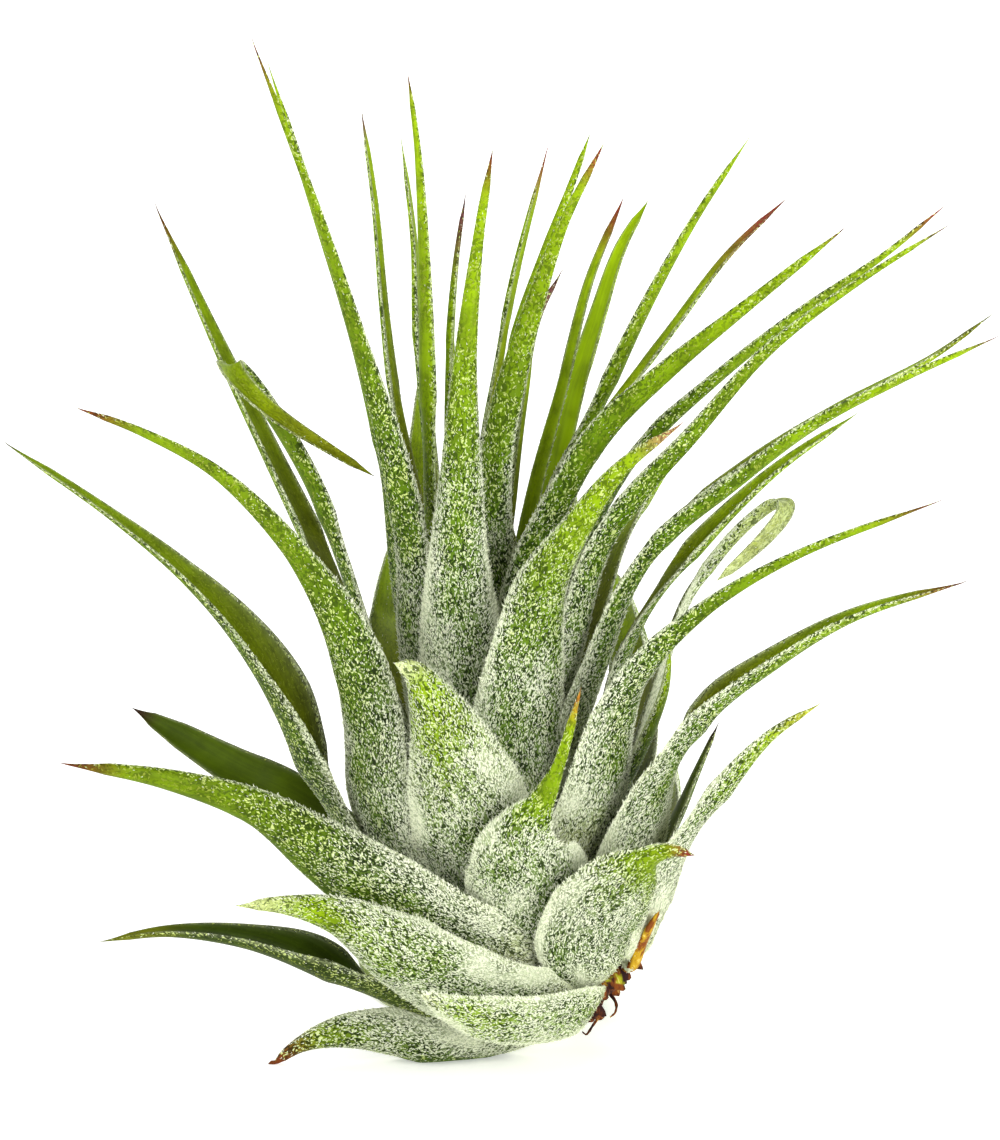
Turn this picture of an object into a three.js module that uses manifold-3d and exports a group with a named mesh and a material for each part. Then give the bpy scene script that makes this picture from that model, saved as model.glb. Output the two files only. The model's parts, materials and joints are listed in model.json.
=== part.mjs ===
// A silver-scaled air plant: a short bent stem with a dry root stub, and a rosette of channelled leaves.
// Millimetres, +Z up. The plant leans back a little and rests on three low leaves, each with a flat spot.
// The origin is on the floor, under the middle of the plant.
import * as THREE from "three";
import { mergeVertices } from "three/addons/utils/BufferGeometryUtils.js";
import Module from "manifold-3d";

const wasm = await Module();
wasm.setup();

// Driving dimensions. Angles are in degrees.
const STEM_LENGTH = 30;
const STEM_FOOT_RADIUS = 3.6;
const STEM_BULGE = 3.2;
const BULGE_SKEW = 0.75;
const STEM_HEAD_RADIUS = 1.8;
const STEM_FOOT = [11.2, -1, 8.2];
const STEM_FOOT_TILT = 52;
const STEM_HEAD_TILT = 5;
const STEM_SIDES = 12;
const STEM_RINGS = 8;
const TORN_DEPTH = 1.4;
const TORN_WAVE = 2.4;
const ROOTLET_RADIUS = 0.35;
const ROOTLET_STEPS = 6;
const ROOTLET_SIDES = 3;
const LEAN_BACK = 12;
const CLEARANCE = 0.3;

const SHEATH_THICKNESS = 0.62;
const BLADE_THICKNESS = 1.1;
const TIP_THICKNESS = 0.6;
const ROOT_WIDTH_SHARE = 0.55;
const CHANNEL_HALF_ANGLE = 70;
const EDGE_THINNING = 0.9;
const SET_BACK = 0.5;
const TIGHTEST_BY_THICKNESS = 0.85;
const TIGHTEST_BY_WIDTH = 0.53;
const WIDEST_SINE = 0.95;
const HEAD_ROOM = 20;
const AXIS_STEP = 0.5;
const RINGS_PER_STATION = 2;
const LEAST_RINGS = 12;
const STEPS_PER_RING = 10;
const FREEING = 14;
const FLOOR_RISE = 1.75;
const GROUND_SIZE = 400;
const GROUND_DEPTH = 60;
const TOUCH = 0.002;

const RAD = Math.PI / 180;
const BACK = new THREE.Vector3(0, 1, 0);

// A leaf: its name, root height up the stem, twist of the blade, how many stations its sheath hugs the stem
// for, and its stations to the tip. A station: right, back, up and the width across the channel.
const LEAVES = [
  ["leaf_foot_left", 0.8, 40, 1, [
    [6, -1, 4.9, 5.4], [2, -1.8, 3.1, 7], [-2, -3, 2.6, 7.6], [-6.5, -4.2, 3, 7.4],
    [-11.3, -4.4, 3.9, 6.4], [-15.8, -4.4, 4, 4.7], [-19.8, -4.2, 2.9, 2.4], [-23.2, -4, 0.6, 0.8],
  ]],
  ["leaf_front_low_white", 1.2, 0, 2, [
    [9, -9.8, 6.6, 5], [4, -13.8, 5.4, 6], [-1, -15.9, 5.6, 5.6], [-5.2, -16.7, 6.8, 3.4],
    [-8.4, -17, 8.6, 0.8],
  ]],
  ["leaf_left_low", 1.6, -55, 2, [
    [3, -6.4, 5.4, 7.4], [-4, -7.6, 6.1, 8.6], [-11.6, -7.4, 8.2, 8.6], [-18.5, -7, 11.7, 7],
    [-25, -6, 13.6, 4.4], [-33, -4, 14.3, 2.3], [-40.3, -1, 13.2, 0.8],
  ]],
  ["leaf_left_pale", 1.8, 0, 2, [
    [7.8, -8.6, 7.7, 6.4], [2, -12.4, 7.2, 8.4], [-4, -14.6, 8.8, 9.8], [-10, -16, 12, 8.6],
    [-15.8, -17, 15.6, 4.8], [-21, -18, 16.9, 2.6], [-26.4, -19.5, 17, 0.8],
  ]],
  ["leaf_right_low", 1.6, 15, 2, [
    [14, -4.6, 12.4, 7], [15.8, -7.4, 16.6, 9], [17.4, -8.6, 21.2, 9.4], [19.3, -9, 24.9, 8],
    [22.7, -10, 29.6, 5.4], [26.6, -11, 33.8, 3.2], [32.1, -13, 37.3, 0.8],
  ]],
  ["leaf_right_spur", 2.6, 0, 2, [
    [10, -9, 9.6, 7.4], [9.2, -13.2, 13.2, 11.4], [10.6, -15.6, 16.8, 11.6], [12.9, -17.2, 20, 8.6],
    [14.8, -18, 21.7, 3.6], [17, -18.4, 22.4, 2], [19.5, -18.6, 22, 0.8],
  ]],
  ["leaf_left_brown_tip", 4, 10, 2, [
    [3.4, -11, 10.6, 9], [-3.6, -13.4, 13, 10], [-11.2, -14.4, 17.6, 9.4], [-17.6, -14.8, 22, 6.8],
    [-24, -15.4, 26.4, 4.2], [-33, -18, 29.4, 2.6], [-43.9, -22, 31.2, 0.8],
  ]],
  ["leaf_left_dark", 6, -60, 2, [
    [-6, 6.6, 18, 6], [-13, 7, 22.4, 5.6], [-20.5, 7.4, 27.6, 4.6], [-26.9, 8, 30.8, 4],
    [-32, 9, 33.7, 3], [-37, 10.5, 36.5, 0.8],
  ]],
  ["leaf_right_thin_sliver", 6.2, 0, 2, [
    [14, 0.4, 19, 4.6], [17.6, -1, 25.4, 4], [19.6, -2, 30, 2.4], [22, -3, 35.4, 0.8],
  ]],
  ["leaf_front_spur", 5, 0, 2, [
    [3.4, -10.4, 11.4, 10.4], [2.8, -14, 16, 12.4], [2.6, -16.6, 20.4, 12.2], [2.2, -18, 22.7, 9.6],
    [2.7, -18.8, 24.8, 6.2], [4.1, -19.4, 27.2, 3], [5.8, -20.2, 30.8, 1.4], [8.1, -21.6, 38.8, 0.8],
  ]],
  ["leaf_left_long", 7.4, -38, 1, [
    [-12.6, -3, 20, 9], [-17.6, -5.4, 29, 8.8], [-21, -7.4, 37.3, 8], [-25.7, -8.4, 44.3, 5.4],
    [-31.5, -9.8, 50.2, 3.2], [-39, -11, 56.1, 1.8], [-49.8, -13, 63.4, 0.8],
  ]],
  ["leaf_right_channel", 8, 45, 2, [
    [11.2, -8, 16, 10], [13.8, -10.6, 22.8, 10], [16.3, -12, 30, 8], [20.4, -13, 36.5, 5.8],
    [27, -14.4, 41.4, 4.4], [34.9, -16, 45.8, 2.8], [46.8, -19, 49.4, 0.8],
  ]],
  ["leaf_front_hooked", 7.4, 0, 2, [
    [-1.4, -11.2, 17, 12], [-2.4, -14.4, 23, 13.2], [-3.9, -16.8, 29, 11.4], [-5.5, -18.2, 34, 7.8],
    [-7.2, -18.8, 37.9, 4.6], [-8.6, -18.8, 40.1, 2.8], [-10.5, -18.6, 41.1, 1.2],
  ]],
  ["leaf_left_front", 9.6, 15, 2, [
    [-8.8, -8.8, 20, 9], [-12.2, -11, 27, 9], [-13.2, -12.6, 36, 8], [-15.8, -14, 44.5, 5.2],
    [-20.4, -15.6, 52.1, 2.7], [-27.9, -18, 59.8, 1.6], [-35.3, -21, 63.9, 1.1], [-42.2, -24, 66.5, 0.8],
  ]],
  ["leaf_right_front", 10.4, 10, 2, [
    [8, -11, 21.5, 9.5], [9.8, -13.8, 28.4, 8.4], [11.5, -15.4, 35.6, 6.4], [14.4, -16.6, 40.9, 3.8],
    [20.8, -18, 46.8, 2.1], [29.6, -20, 51.9, 1.4], [44.4, -23, 57.5, 0.8],
  ]],
  ["leaf_mid_pale_sliver", 10.8, 0, 2, [
    [11.6, -6, 27, 4], [14.6, -8, 33.6, 3], [16.4, -8.8, 38.4, 2], [17, -9, 42.6, 0.8],
  ]],
  ["leaf_right_curled", 11.4, 0, 2, [
    [12, -2, 28, 4.6], [15.4, -4, 38, 3.4], [18.6, -4.6, 47.4, 2.3], [22, -4.2, 52.4, 2],
    [25.4, -4, 55.8, 2.1], [27.4, -4.2, 57.1, 2.1], [28.4, -5, 57, 2], [28.3, -5.9, 55.9, 1.8],
    [26.6, -6.4, 53.7, 1.7], [24.2, -6.8, 51.4, 1.4], [21.6, -7.2, 49.2, 0.8],
  ]],
  ["leaf_left_curled", 12, 20, 2, [
    [-9, -2, 33, 4.6], [-13, -4, 43, 4], [-15.6, -4.6, 51, 3.4], [-18.2, -4.4, 58.2, 2.5],
    [-21.9, -4, 64.8, 2.3], [-25.6, -4, 69.8, 2.4], [-27, -5, 70.9, 2.6], [-26, -6.8, 69.2, 2.4],
    [-22.6, -7.6, 66, 2], [-17.4, -8, 62.6, 1.4], [-12.4, -8.4, 59.6, 0.8],
  ]],
  ["leaf_centre_right", 12.8, 0, 2, [
    [3, -11.6, 27, 11.5], [2.2, -13.2, 35, 10.4], [3, -14.8, 42.5, 8], [4.3, -16.2, 48.5, 5.8],
    [7.4, -17.6, 54, 3.6], [11.9, -19.2, 60.2, 2.1], [18.3, -22, 65.1, 0.8],
  ]],
  ["leaf_right_long", 13.4, 15, 2, [
    [7, -9, 33, 5], [9.8, -10.8, 41.5, 4], [12.6, -11.8, 48.4, 3.3], [16.4, -12.6, 53.7, 2.8],
    [22.5, -13.6, 58.5, 2.4], [31, -15, 64.8, 2.1], [40, -17, 69.4, 1.3], [50, -20, 73.8, 0.8],
  ]],
  ["leaf_right_mid", 14, 40, 2, [
    [9.6, -3.2, 32, 4.8], [12, -6, 41, 4.2], [15.7, -7.6, 48, 3.6], [20.6, -8.4, 53.9, 2.9],
    [27.5, -9, 60.4, 1.8], [35.9, -10, 66.2, 0.8],
  ]],
  ["leaf_left_back_tall", 14.4, 0, 2, [
    [-8, 5, 30, 5], [-14, 6.6, 42, 4], [-18.7, 8.4, 53.1, 3.4], [-22.9, 10, 61.8, 2.8],
    [-27.7, 12.4, 71.8, 2.4], [-34.9, 17, 87.7, 0.8],
  ]],
  ["leaf_right_upper", 15, 15, 2, [
    [5.6, -8.9, 36, 5], [7.3, -11.2, 44, 4], [9.6, -12.8, 51.8, 3.7], [13.4, -14, 57.6, 3],
    [18.9, -15.2, 63.6, 2.4], [26.5, -16.4, 72.1, 1.7], [35, -18, 78.6, 1.1], [45, -20, 84.9, 0.8],
  ]],
  ["leaf_left_tallest", 15.8, 0, 2, [
    [-6.9, -6.2, 34, 5.4], [-8.5, -7.8, 43, 5], [-8.9, -9, 52, 4.5], [-10.8, -10, 61.7, 3.4],
    [-13.9, -11.4, 72.5, 2.1], [-18, -13.4, 85.5, 1.2], [-24.9, -17, 103.8, 0.8],
  ]],
  ["leaf_centre_front", 16.6, 0, 2, [
    [-3, -9.6, 34, 9], [-4, -11.2, 44, 8.4], [-4.2, -12.6, 51, 6.2], [-4, -13.6, 58.5, 4.5],
    [-3.5, -15, 71, 2.4], [-2.2, -17, 83, 1.2], [-0.7, -19.5, 92.2, 0.8],
  ]],
  ["leaf_right_long_upper", 17.2, 20, 2, [
    [8, -2, 38, 4], [12, -4, 47.4, 3.4], [16.5, -5.5, 54.4, 2.8], [25, -6.5, 61.2, 2.2],
    [34, -7, 66.8, 1.6], [43, -7, 71.6, 1.1], [49.4, -7, 76.1, 0.8],
  ]],
  ["leaf_back_wide_green", 17.8, 0, 2, [
    [-6.2, -2.5, 43, 3.6], [-6.9, -3.4, 54, 3], [-7.1, -4, 66, 2.8], [-7.4, -4, 79.5, 1.9],
    [-8.1, -4, 92, 1.1], [-9.2, -4, 100.3, 0.8],
  ]],
  ["leaf_back_flat_green", 18.4, 0, 2, [
    [2.8, 4.2, 46, 3], [5.2, 5.6, 58, 2.4], [7.4, 6.6, 67.8, 2.2], [9.8, 8, 75.8, 1.8],
    [12.1, 9.8, 82.6, 1.4], [14.9, 12, 87.5, 0.8],
  ]],
  ["leaf_upper_right", 19, 10, 2, [
    [1.2, -7, 43, 4], [2.4, -8.8, 50, 3.4], [5.8, -10, 57.2, 3.2], [10.3, -10.8, 64.2, 2.9],
    [17, -11.6, 70.5, 2.2], [24.8, -12.4, 76.8, 1.5], [34.6, -13.4, 84.6, 0.8],
  ]],
  ["leaf_left_tall_pair", 19.6, 0, 2, [
    [-8.6, -4, 40, 4.4], [-10.2, -5.4, 50, 3.8], [-11.4, -6, 61.3, 3], [-14, -6.4, 72.5, 2.2],
    [-18.6, -6.4, 87, 1.4], [-23.3, -6, 101.5, 0.8],
  ]],
  ["leaf_right_upper_pair", 20.2, 15, 2, [
    [5, -4, 44, 3.6], [8.5, -6, 53.5, 3], [14, -7.4, 62.5, 2.3], [21.2, -8.4, 69.3, 1.8],
    [30, -9, 76.2, 1.4], [38, -9.4, 81.6, 1.1], [44.6, -10, 86.9, 0.8],
  ]],
  ["leaf_mid_right", 20.8, 20, 2, [
    [3, -2, 46, 3], [5.2, -3.4, 57, 3], [9.4, -4.6, 66, 2.6], [14.1, -5.4, 76, 2], [19.3, -6, 85.3, 1.3],
    [25.1, -6.5, 93.9, 0.8],
  ]],
  ["leaf_centre_pair_front", 21.4, 0, 2, [
    [0.2, -5, 44, 4], [-0.5, -6.6, 53, 3.6], [-0.4, -7.6, 61.5, 3.4], [1.5, -8.6, 70.4, 2.6],
    [3.9, -9.6, 78.2, 1.8], [6.4, -10.6, 85, 1.1], [10.4, -12, 92.9, 0.8],
  ]],
  ["leaf_back_pale", 22, 0, 2, [
    [-5.6, 3.4, 46, 2.6], [-8, 5, 56, 2], [-10.4, 6.6, 67.3, 1.5], [-11.5, 8, 76, 1.2],
    [-12.5, 10, 87, 1], [-13.9, 13, 96.7, 0.8],
  ]],
  ["leaf_upper_right_thin", 22.6, 0, 2, [
    [4.6, 0.6, 48, 2.4], [7, 1.8, 61, 1.6], [11.5, 2.6, 67, 1.3], [17.1, 4, 74.4, 1.1],
    [22.8, 6, 81.9, 1], [28.8, 9, 87.7, 0.8],
  ]],
  ["leaf_left_thin", 23.2, 0, 2, [
    [-5.2, 1, 48, 2.2], [-6.9, 2, 60, 1.7], [-8.1, 2.8, 73, 1.4], [-8.5, 3.8, 83, 1.1],
    [-9.9, 5.4, 94, 0.8],
  ]],
  ["leaf_centre_pair_back", 24, 0, 2, [
    [-1.2, -2, 48, 2.6], [-0.8, -3.5, 60, 2.2], [1.6, -4.5, 73, 1.6], [4.6, -5, 82, 1.3],
    [6.9, -5, 88, 1.1], [9.1, -5, 94, 0.8],
  ]],
  ["leaf_mid_thin", 24.6, 0, 2, [
    [1.8, 1.5, 48, 2.2], [3.4, 2.6, 58, 1.6], [6.3, 3.2, 68.9, 1.2], [8.9, 4.2, 79.2, 1],
    [12.4, 6, 87.7, 0.8],
  ]],
  ["leaf_brown_tip_thin", 25.2, 0, 2, [
    [-4.2, -1.2, 48, 2], [-5, -1.6, 60, 1.5], [-4.9, -1.6, 72.5, 1.2], [-4.3, -1.6, 81, 1],
    [-3.3, -1.6, 88.3, 0.8],
  ]],
  ["leaf_centre_short_dark", 25.8, 0, 2, [
    [0.4, -0.8, 49, 1.8], [1.2, -0.8, 58, 1.5], [2.3, -0.8, 66.8, 1.3], [3.9, -0.8, 75.3, 1.1],
    [6.4, -0.8, 80.5, 0.8],
  ]],
  ["leaf_centre_thin", 26.4, 0, 2, [
    [-2, 1.4, 49, 2], [-1.6, 1.4, 62, 1.5], [-0.2, 1.2, 70.5, 1.3], [1.6, 1, 80, 1.2], [5, 1, 93.2, 0.8],
  ]],
  ["leaf_back_foot_right", 1.2, 0, 2, [
    [10.2, 7.6, 8.6, 7], [10.6, 14, 8.1, 7], [10.6, 21, 8.1, 6], [9.6, 30, 10.3, 4], [8.6, 40, 14.4, 0.8],
  ]],
  ["leaf_back_foot_left", 2, 0, 2, [
    [1.6, 9, 7.4, 9], [-4, 16, 7.3, 10], [-8.4, 24, 8, 8.2], [-12, 34, 10.6, 4.8], [-15, 45, 15.4, 0.8],
  ]],
  ["leaf_back_low_right", 4.4, 0, 2, [
    [11.4, 6, 13, 9], [14, 10.6, 18.6, 9.6], [15.8, 17, 24, 7.6], [16.6, 26, 28.6, 4.8],
    [16.4, 38, 31.6, 0.8],
  ]],
  ["leaf_back_low", 5.4, 0, 2, [
    [7.6, 10.6, 12.4, 11.6], [5.8, 15.6, 18, 12.8], [4.2, 22.4, 24.4, 10], [2.6, 32, 30.4, 5.6],
    [1, 46, 34.4, 0.8],
  ]],
  ["leaf_back_low_left", 6.6, 0, 2, [
    [-2.6, 10.6, 15.6, 11], [-8, 14.6, 22, 11.4], [-11.4, 21, 28, 8.6], [-13, 31, 33.4, 4.8],
    [-13.8, 43, 36.4, 0.8],
  ]],
  ["leaf_back_mid_right", 9.6, 0, 2, [
    [11.4, 7.2, 22, 10], [13.4, 11, 29.6, 10.4], [13.8, 17.4, 38, 7.6], [12.6, 26, 45.6, 4.4],
    [11, 38, 51, 0.8],
  ]],
  ["leaf_back_mid", 11.6, 0, 2, [
    [1.4, 10.6, 25, 11.6], [0.4, 13.8, 33, 11.4], [-0.6, 19.6, 42.4, 8], [-1.8, 29, 51, 4.4],
    [-3, 42, 57, 0.8],
  ]],
  ["leaf_back_mid_left", 13, 0, 2, [
    [-8, 7.8, 27, 9], [-10.4, 11, 35, 8.6], [-11, 16.4, 43, 6], [-10.6, 24, 50, 3.6], [-9.6, 35, 56, 0.8],
  ]],
  ["leaf_back_high_right", 15.6, 0, 2, [
    [5, 7.6, 34, 8.4], [6.2, 10.6, 43, 7.6], [6.4, 15.4, 51, 5], [6.6, 22, 58.6, 2.8], [7, 31, 65.4, 0.8],
  ]],
  ["leaf_back_high_left", 17.2, 0, 2, [
    [-4.6, 7.4, 38, 7.6], [-6.6, 10.4, 47.6, 6.6], [-7.8, 15, 57, 4.2], [-7.8, 22, 65.6, 2.4],
    [-7.4, 31, 72.6, 0.8],
  ]],
  ["leaf_back_inner_right", 18.6, 0, 2, [
    [7, 3.6, 38, 6], [9.4, 5.4, 46, 5], [12, 9, 53.2, 3.4], [15.4, 14.4, 59, 2.1], [19, 22, 63.6, 0.8],
  ]],
  ["leaf_back_inner", 20, 0, 2, [
    [-1.4, 5.6, 40, 6], [-2.6, 8, 48.6, 5.2], [-3.4, 12.4, 56.6, 3.8], [-3.8, 19, 64, 2.4],
    [-3.8, 28, 70, 0.8],
  ]],
  ["leaf_back_inner_left", 20.6, 0, 2, [
    [-7.4, 3, 38, 5.2], [-8.6, 5.4, 45, 4.4], [-9.4, 9.6, 51.6, 3.3], [-9.8, 15.6, 57, 2.2],
    [-10, 23, 61, 0.8],
  ]],
  ["leaf_dry_strip", 0.6, 0, 1, [
    [13.2, -5.6, 10.8, 2], [14.2, -7.6, 13.2, 1.8], [15.1, -9.4, 15, 1.4], [15.9, -10.6, 16.4, 0.8],
  ]],
];

const LEAF_GREEN = { color: 0x8fa86a, roughness: 0.85, metalness: 0 };
const LOOKS = {
  stem: { color: 0x7a4a1c, roughness: 0.9, metalness: 0 },
  leaf_dry_strip: { color: 0xc08a3c, roughness: 0.9, metalness: 0 },
};

// A point on the stem's bent centre line, with the directions across (right), back and along it.
function stemFrame(height) {
  const from = STEM_FOOT_TILT * RAD;
  const turn = ((STEM_HEAD_TILT - STEM_FOOT_TILT) * RAD) / STEM_LENGTH;
  const tilt = from + turn * height;
  const point = new THREE.Vector3(...STEM_FOOT);
  point.x += (Math.cos(tilt) - Math.cos(from)) / turn;
  point.z += (Math.sin(tilt) - Math.sin(from)) / turn;
  const along = new THREE.Vector3(-Math.sin(tilt), 0, Math.cos(tilt));
  const across = new THREE.Vector3(Math.cos(tilt), 0, Math.sin(tilt));
  return { point, along, across };
}

// The stem swells above its foot, where the tight inner sheaths grow round it.
function stemRadius(height) {
  const share = height / STEM_LENGTH;
  const plain = THREE.MathUtils.lerp(STEM_FOOT_RADIUS, STEM_HEAD_RADIUS, share);
  return plain + STEM_BULGE * Math.sin(Math.PI * share ** BULGE_SKEW);
}

function outward(frame, turn) {
  const across = frame.across.clone().multiplyScalar(Math.cos(turn * RAD));
  return across.addScaledVector(BACK, Math.sin(turn * RAD));
}

// The frame of the stem's centre line nearest to a place. The line is carried on above the stem's head.
function nearestOnStem(place) {
  let nearest = null;
  for (let height = 0; height <= STEM_LENGTH + HEAD_ROOM; height += AXIS_STEP) {
    const frame = stemFrame(height);
    if (!nearest || frame.point.distanceTo(place) < nearest.point.distanceTo(place)) nearest = frame;
  }
  return nearest;
}

const smooth = (x) => THREE.MathUtils.smoothstep(x, 0, 1);

// The rings of a leaf from root to tip: place, directions inward and across, width, thickness, radius.
function leafRings([, rootHeight, twist, hug, stations], grow) {
  const count = Math.max(RINGS_PER_STATION * (stations.length + 1), LEAST_RINGS);
  const points = stations.map(([x, y, z]) => new THREE.Vector3(x, y, z));
  const frame = stemFrame(rootHeight);
  const out = points[0].clone().sub(frame.point);
  out.addScaledVector(frame.along, -out.dot(frame.along)).normalize();
  const rootRadius = stemRadius(rootHeight) + CLEARANCE + SHEATH_THICKNESS / 2;
  const path = [frame.point.clone().addScaledVector(out, rootRadius), ...points];
  const widths = [ROOT_WIDTH_SHARE * stations[0][3], ...stations.map((station) => station[3])];
  const curve = new THREE.CatmullRomCurve3(path, false, "centripetal");
  const last = path.length - 1;
  const rings = [];
  const inward = new THREE.Vector3();
  const lastTangent = new THREE.Vector3();
  const lastPlace = new THREE.Vector3();
  let free = 0;
  const steps = count * STEPS_PER_RING;
  for (let step = 0; step < steps; step++) {
    const s = step / steps;
    const tangent = curve.getTangent(s);
    const place = curve.getPoint(s);
    const axis = nearestOnStem(place);
    if (s * last <= hug) {
      const toAxis = axis.point.clone().sub(place).normalize();
      const square = new THREE.Vector3().crossVectors(toAxis, tangent);
      const round = new THREE.Vector3().crossVectors(toAxis, axis.along).normalize();
      round.addScaledVector(tangent, -round.dot(tangent)).multiplyScalar(1 - square.length());
      inward.crossVectors(tangent, square.add(round).normalize());
    } else {
      free += place.distanceTo(lastPlace);
      inward.applyQuaternion(new THREE.Quaternion().setFromUnitVectors(lastTangent, tangent));
      inward.addScaledVector(tangent, -inward.dot(tangent)).normalize();
    }
    lastPlace.copy(place);
    lastTangent.copy(tangent);
    if (step % STEPS_PER_RING) continue;
    const k = Math.min(Math.floor(s * last), last - 1);
    const w = THREE.MathUtils.lerp(widths[k], widths[k + 1], s * last - k);
    const past = THREE.MathUtils.clamp((s * last - hug) / (last - hug), 0, 1);
    const near = smooth((s * last) / hug);
    const turned = new THREE.Quaternion().setFromAxisAngle(tangent, twist * RAD * smooth(past * 2));
    const sectionIn = inward.clone().applyQuaternion(turned);
    const across = new THREE.Vector3().crossVectors(tangent, sectionIn).negate();
    const t = past > 0
      ? THREE.MathUtils.lerp(BLADE_THICKNESS, TIP_THICKNESS, past)
      : THREE.MathUtils.lerp(SHEATH_THICKNESS, BLADE_THICKNESS, near);
    const bladeRadius = w / (2 * Math.sin(CHANNEL_HALF_ANGLE * RAD));
    const freed = smooth(free / FREEING);
    const curved = THREE.MathUtils.lerp(axis.point.distanceTo(place), bladeRadius, freed);
    const radius = Math.max(curved, TIGHTEST_BY_THICKNESS * t, TIGHTEST_BY_WIDTH * w);
    const half = Math.asin(w / (2 * radius));
    place.addScaledVector(sectionIn, -SET_BACK * freed * radius * (1 - Math.cos(half)));
    rings.push({ place, in: sectionIn, across, tangent, w: w + 2 * grow, t: t + 2 * grow, radius });
  }
  return { rings, tip: path[last] };
}

const OUTER = [-1, -0.5, 0, 0.5, 1];
const INNER = [0.5, 0, -0.5];
const ROOT_CAP = [0, 7, 1, 1, 7, 6, 1, 6, 2, 2, 6, 3, 3, 6, 5, 3, 5, 4];

// One ring of a leaf: the outer face from edge to edge, then the inner face back.
function leafRing({ place, in: inward, across, w, t, radius }) {
  const half = Math.asin(Math.min(w / (2 * radius), WIDEST_SINE));
  const at = (share, side) => {
    const angle = share * half;
    const r = radius + side * (t / 2) * (1 - EDGE_THINNING * share * share) * (Math.abs(share) < 1 ? 1 : 0);
    return place.clone()
      .addScaledVector(inward, radius - r * Math.cos(angle))
      .addScaledVector(across, r * Math.sin(angle));
  };
  return [...OUTER.map((share) => at(share, 1)), ...INNER.map((share) => at(share, -1))];
}

function leafGeometry(leaf, grow = 0) {
  const { rings: places, tip } = leafRings(leaf, grow);
  const rings = places.map(leafRing);
  const size = rings[0].length;
  const vertices = rings.flat();
  vertices.push(tip);
  const index = [];
  for (let i = 0; i < rings.length - 1; i++) {
    for (let j = 0; j < size; j++) {
      const a = i * size + j;
      const b = i * size + ((j + 1) % size);
      if (j < OUTER.length - 1) index.push(a, b, a + size, b, b + size, a + size);
      else index.push(a, b, b + size, a, b + size, a + size);
    }
  }
  index.push(...ROOT_CAP);
  const last = (rings.length - 1) * size;
  for (let j = 0; j < size; j++) index.push(last + j, last + ((j + 1) % size), vertices.length - 1);
  const geometry = new THREE.BufferGeometry().setFromPoints(vertices);
  geometry.setIndex(index);
  return geometry;
}

function stemGeometry(grow = 0) {
  const vertices = [];
  for (let i = 0; i <= STEM_RINGS; i++) {
    const height = (STEM_LENGTH * i) / STEM_RINGS;
    const frame = stemFrame(height);
    for (let j = 0; j < STEM_SIDES; j++) {
      const torn = i === 0 ? TORN_DEPTH * Math.sin(TORN_WAVE * j) ** 2 : 0;
      const out = outward(frame, (360 * j) / STEM_SIDES);
      const vertex = frame.point.clone().addScaledVector(out, stemRadius(height) + grow);
      vertices.push(vertex.addScaledVector(frame.along, -torn));
    }
  }
  const index = [];
  for (let i = 0; i < STEM_RINGS; i++) {
    for (let j = 0; j < STEM_SIDES; j++) {
      const a = i * STEM_SIDES + j;
      const b = i * STEM_SIDES + ((j + 1) % STEM_SIDES);
      index.push(a, b, a + STEM_SIDES, b, b + STEM_SIDES, a + STEM_SIDES);
    }
  }
  vertices.push(stemFrame(0).point, stemFrame(STEM_LENGTH).point);
  const foot = vertices.length - 2;
  for (let j = 0; j < STEM_SIDES; j++) {
    index.push(foot, (j + 1) % STEM_SIDES, j);
    index.push(foot + 1, STEM_RINGS * STEM_SIDES + j, STEM_RINGS * STEM_SIDES + ((j + 1) % STEM_SIDES));
  }
  const geometry = new THREE.BufferGeometry().setFromPoints(vertices);
  geometry.setIndex(index);
  return geometry;
}

// The dry ends of the roots, each from inside the stub to its tip.
const ROOTLETS = [
  [[9.4, -1.2, 8.8], [10, -1.8, 6], [9.2, -2.4, 4.7], [8.6, -2.8, 3.9], [8.2, -2.8, 4.2]],
  [[9.2, -1.6, 8.4], [9.8, -2.6, 6.4], [9.2, -3.2, 5.4], [8.1, -3.4, 5]],
  [[10, -1.6, 9], [11.6, -2.2, 7], [11.5, -2.4, 6.1], [11, -2.5, 5.6]],
];

function rootlet(places) {
  const path = new THREE.CatmullRomCurve3(places.map((place) => new THREE.Vector3(...place)));
  const section = new THREE.Shape().absarc(0, 0, ROOTLET_RADIUS, 0, 2 * Math.PI);
  const tube = new THREE.ExtrudeGeometry(section, {
    steps: ROOTLET_STEPS, curveSegments: ROOTLET_SIDES, bevelEnabled: false, extrudePath: path,
  });
  tube.deleteAttribute("normal");
  tube.deleteAttribute("uv");
  return toSolid(tube);
}

function toSolid(geometry) {
  const merged = mergeVertices(geometry);
  return new wasm.Manifold(new wasm.Mesh({
    numProp: 3,
    vertProperties: merged.attributes.position.array,
    triVerts: new Uint32Array(merged.index.array),
  }));
}

function toMesh(solid, name, look) {
  const { numProp, numVert, vertProperties, triVerts } = solid.getMesh();
  const position = new Float32Array(numVert * 3);
  for (let i = 0; i < numVert; i++) {
    position.set(vertProperties.subarray(i * numProp, i * numProp + 3), i * 3);
  }
  const geometry = new THREE.BufferGeometry();
  geometry.setAttribute("position", new THREE.BufferAttribute(position, 3));
  geometry.setIndex(new THREE.BufferAttribute(triVerts, 1));
  geometry.computeVertexNormals();
  const mesh = new THREE.Mesh(geometry, new THREE.MeshStandardMaterial(look));
  mesh.name = name;
  return mesh;
}

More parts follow.
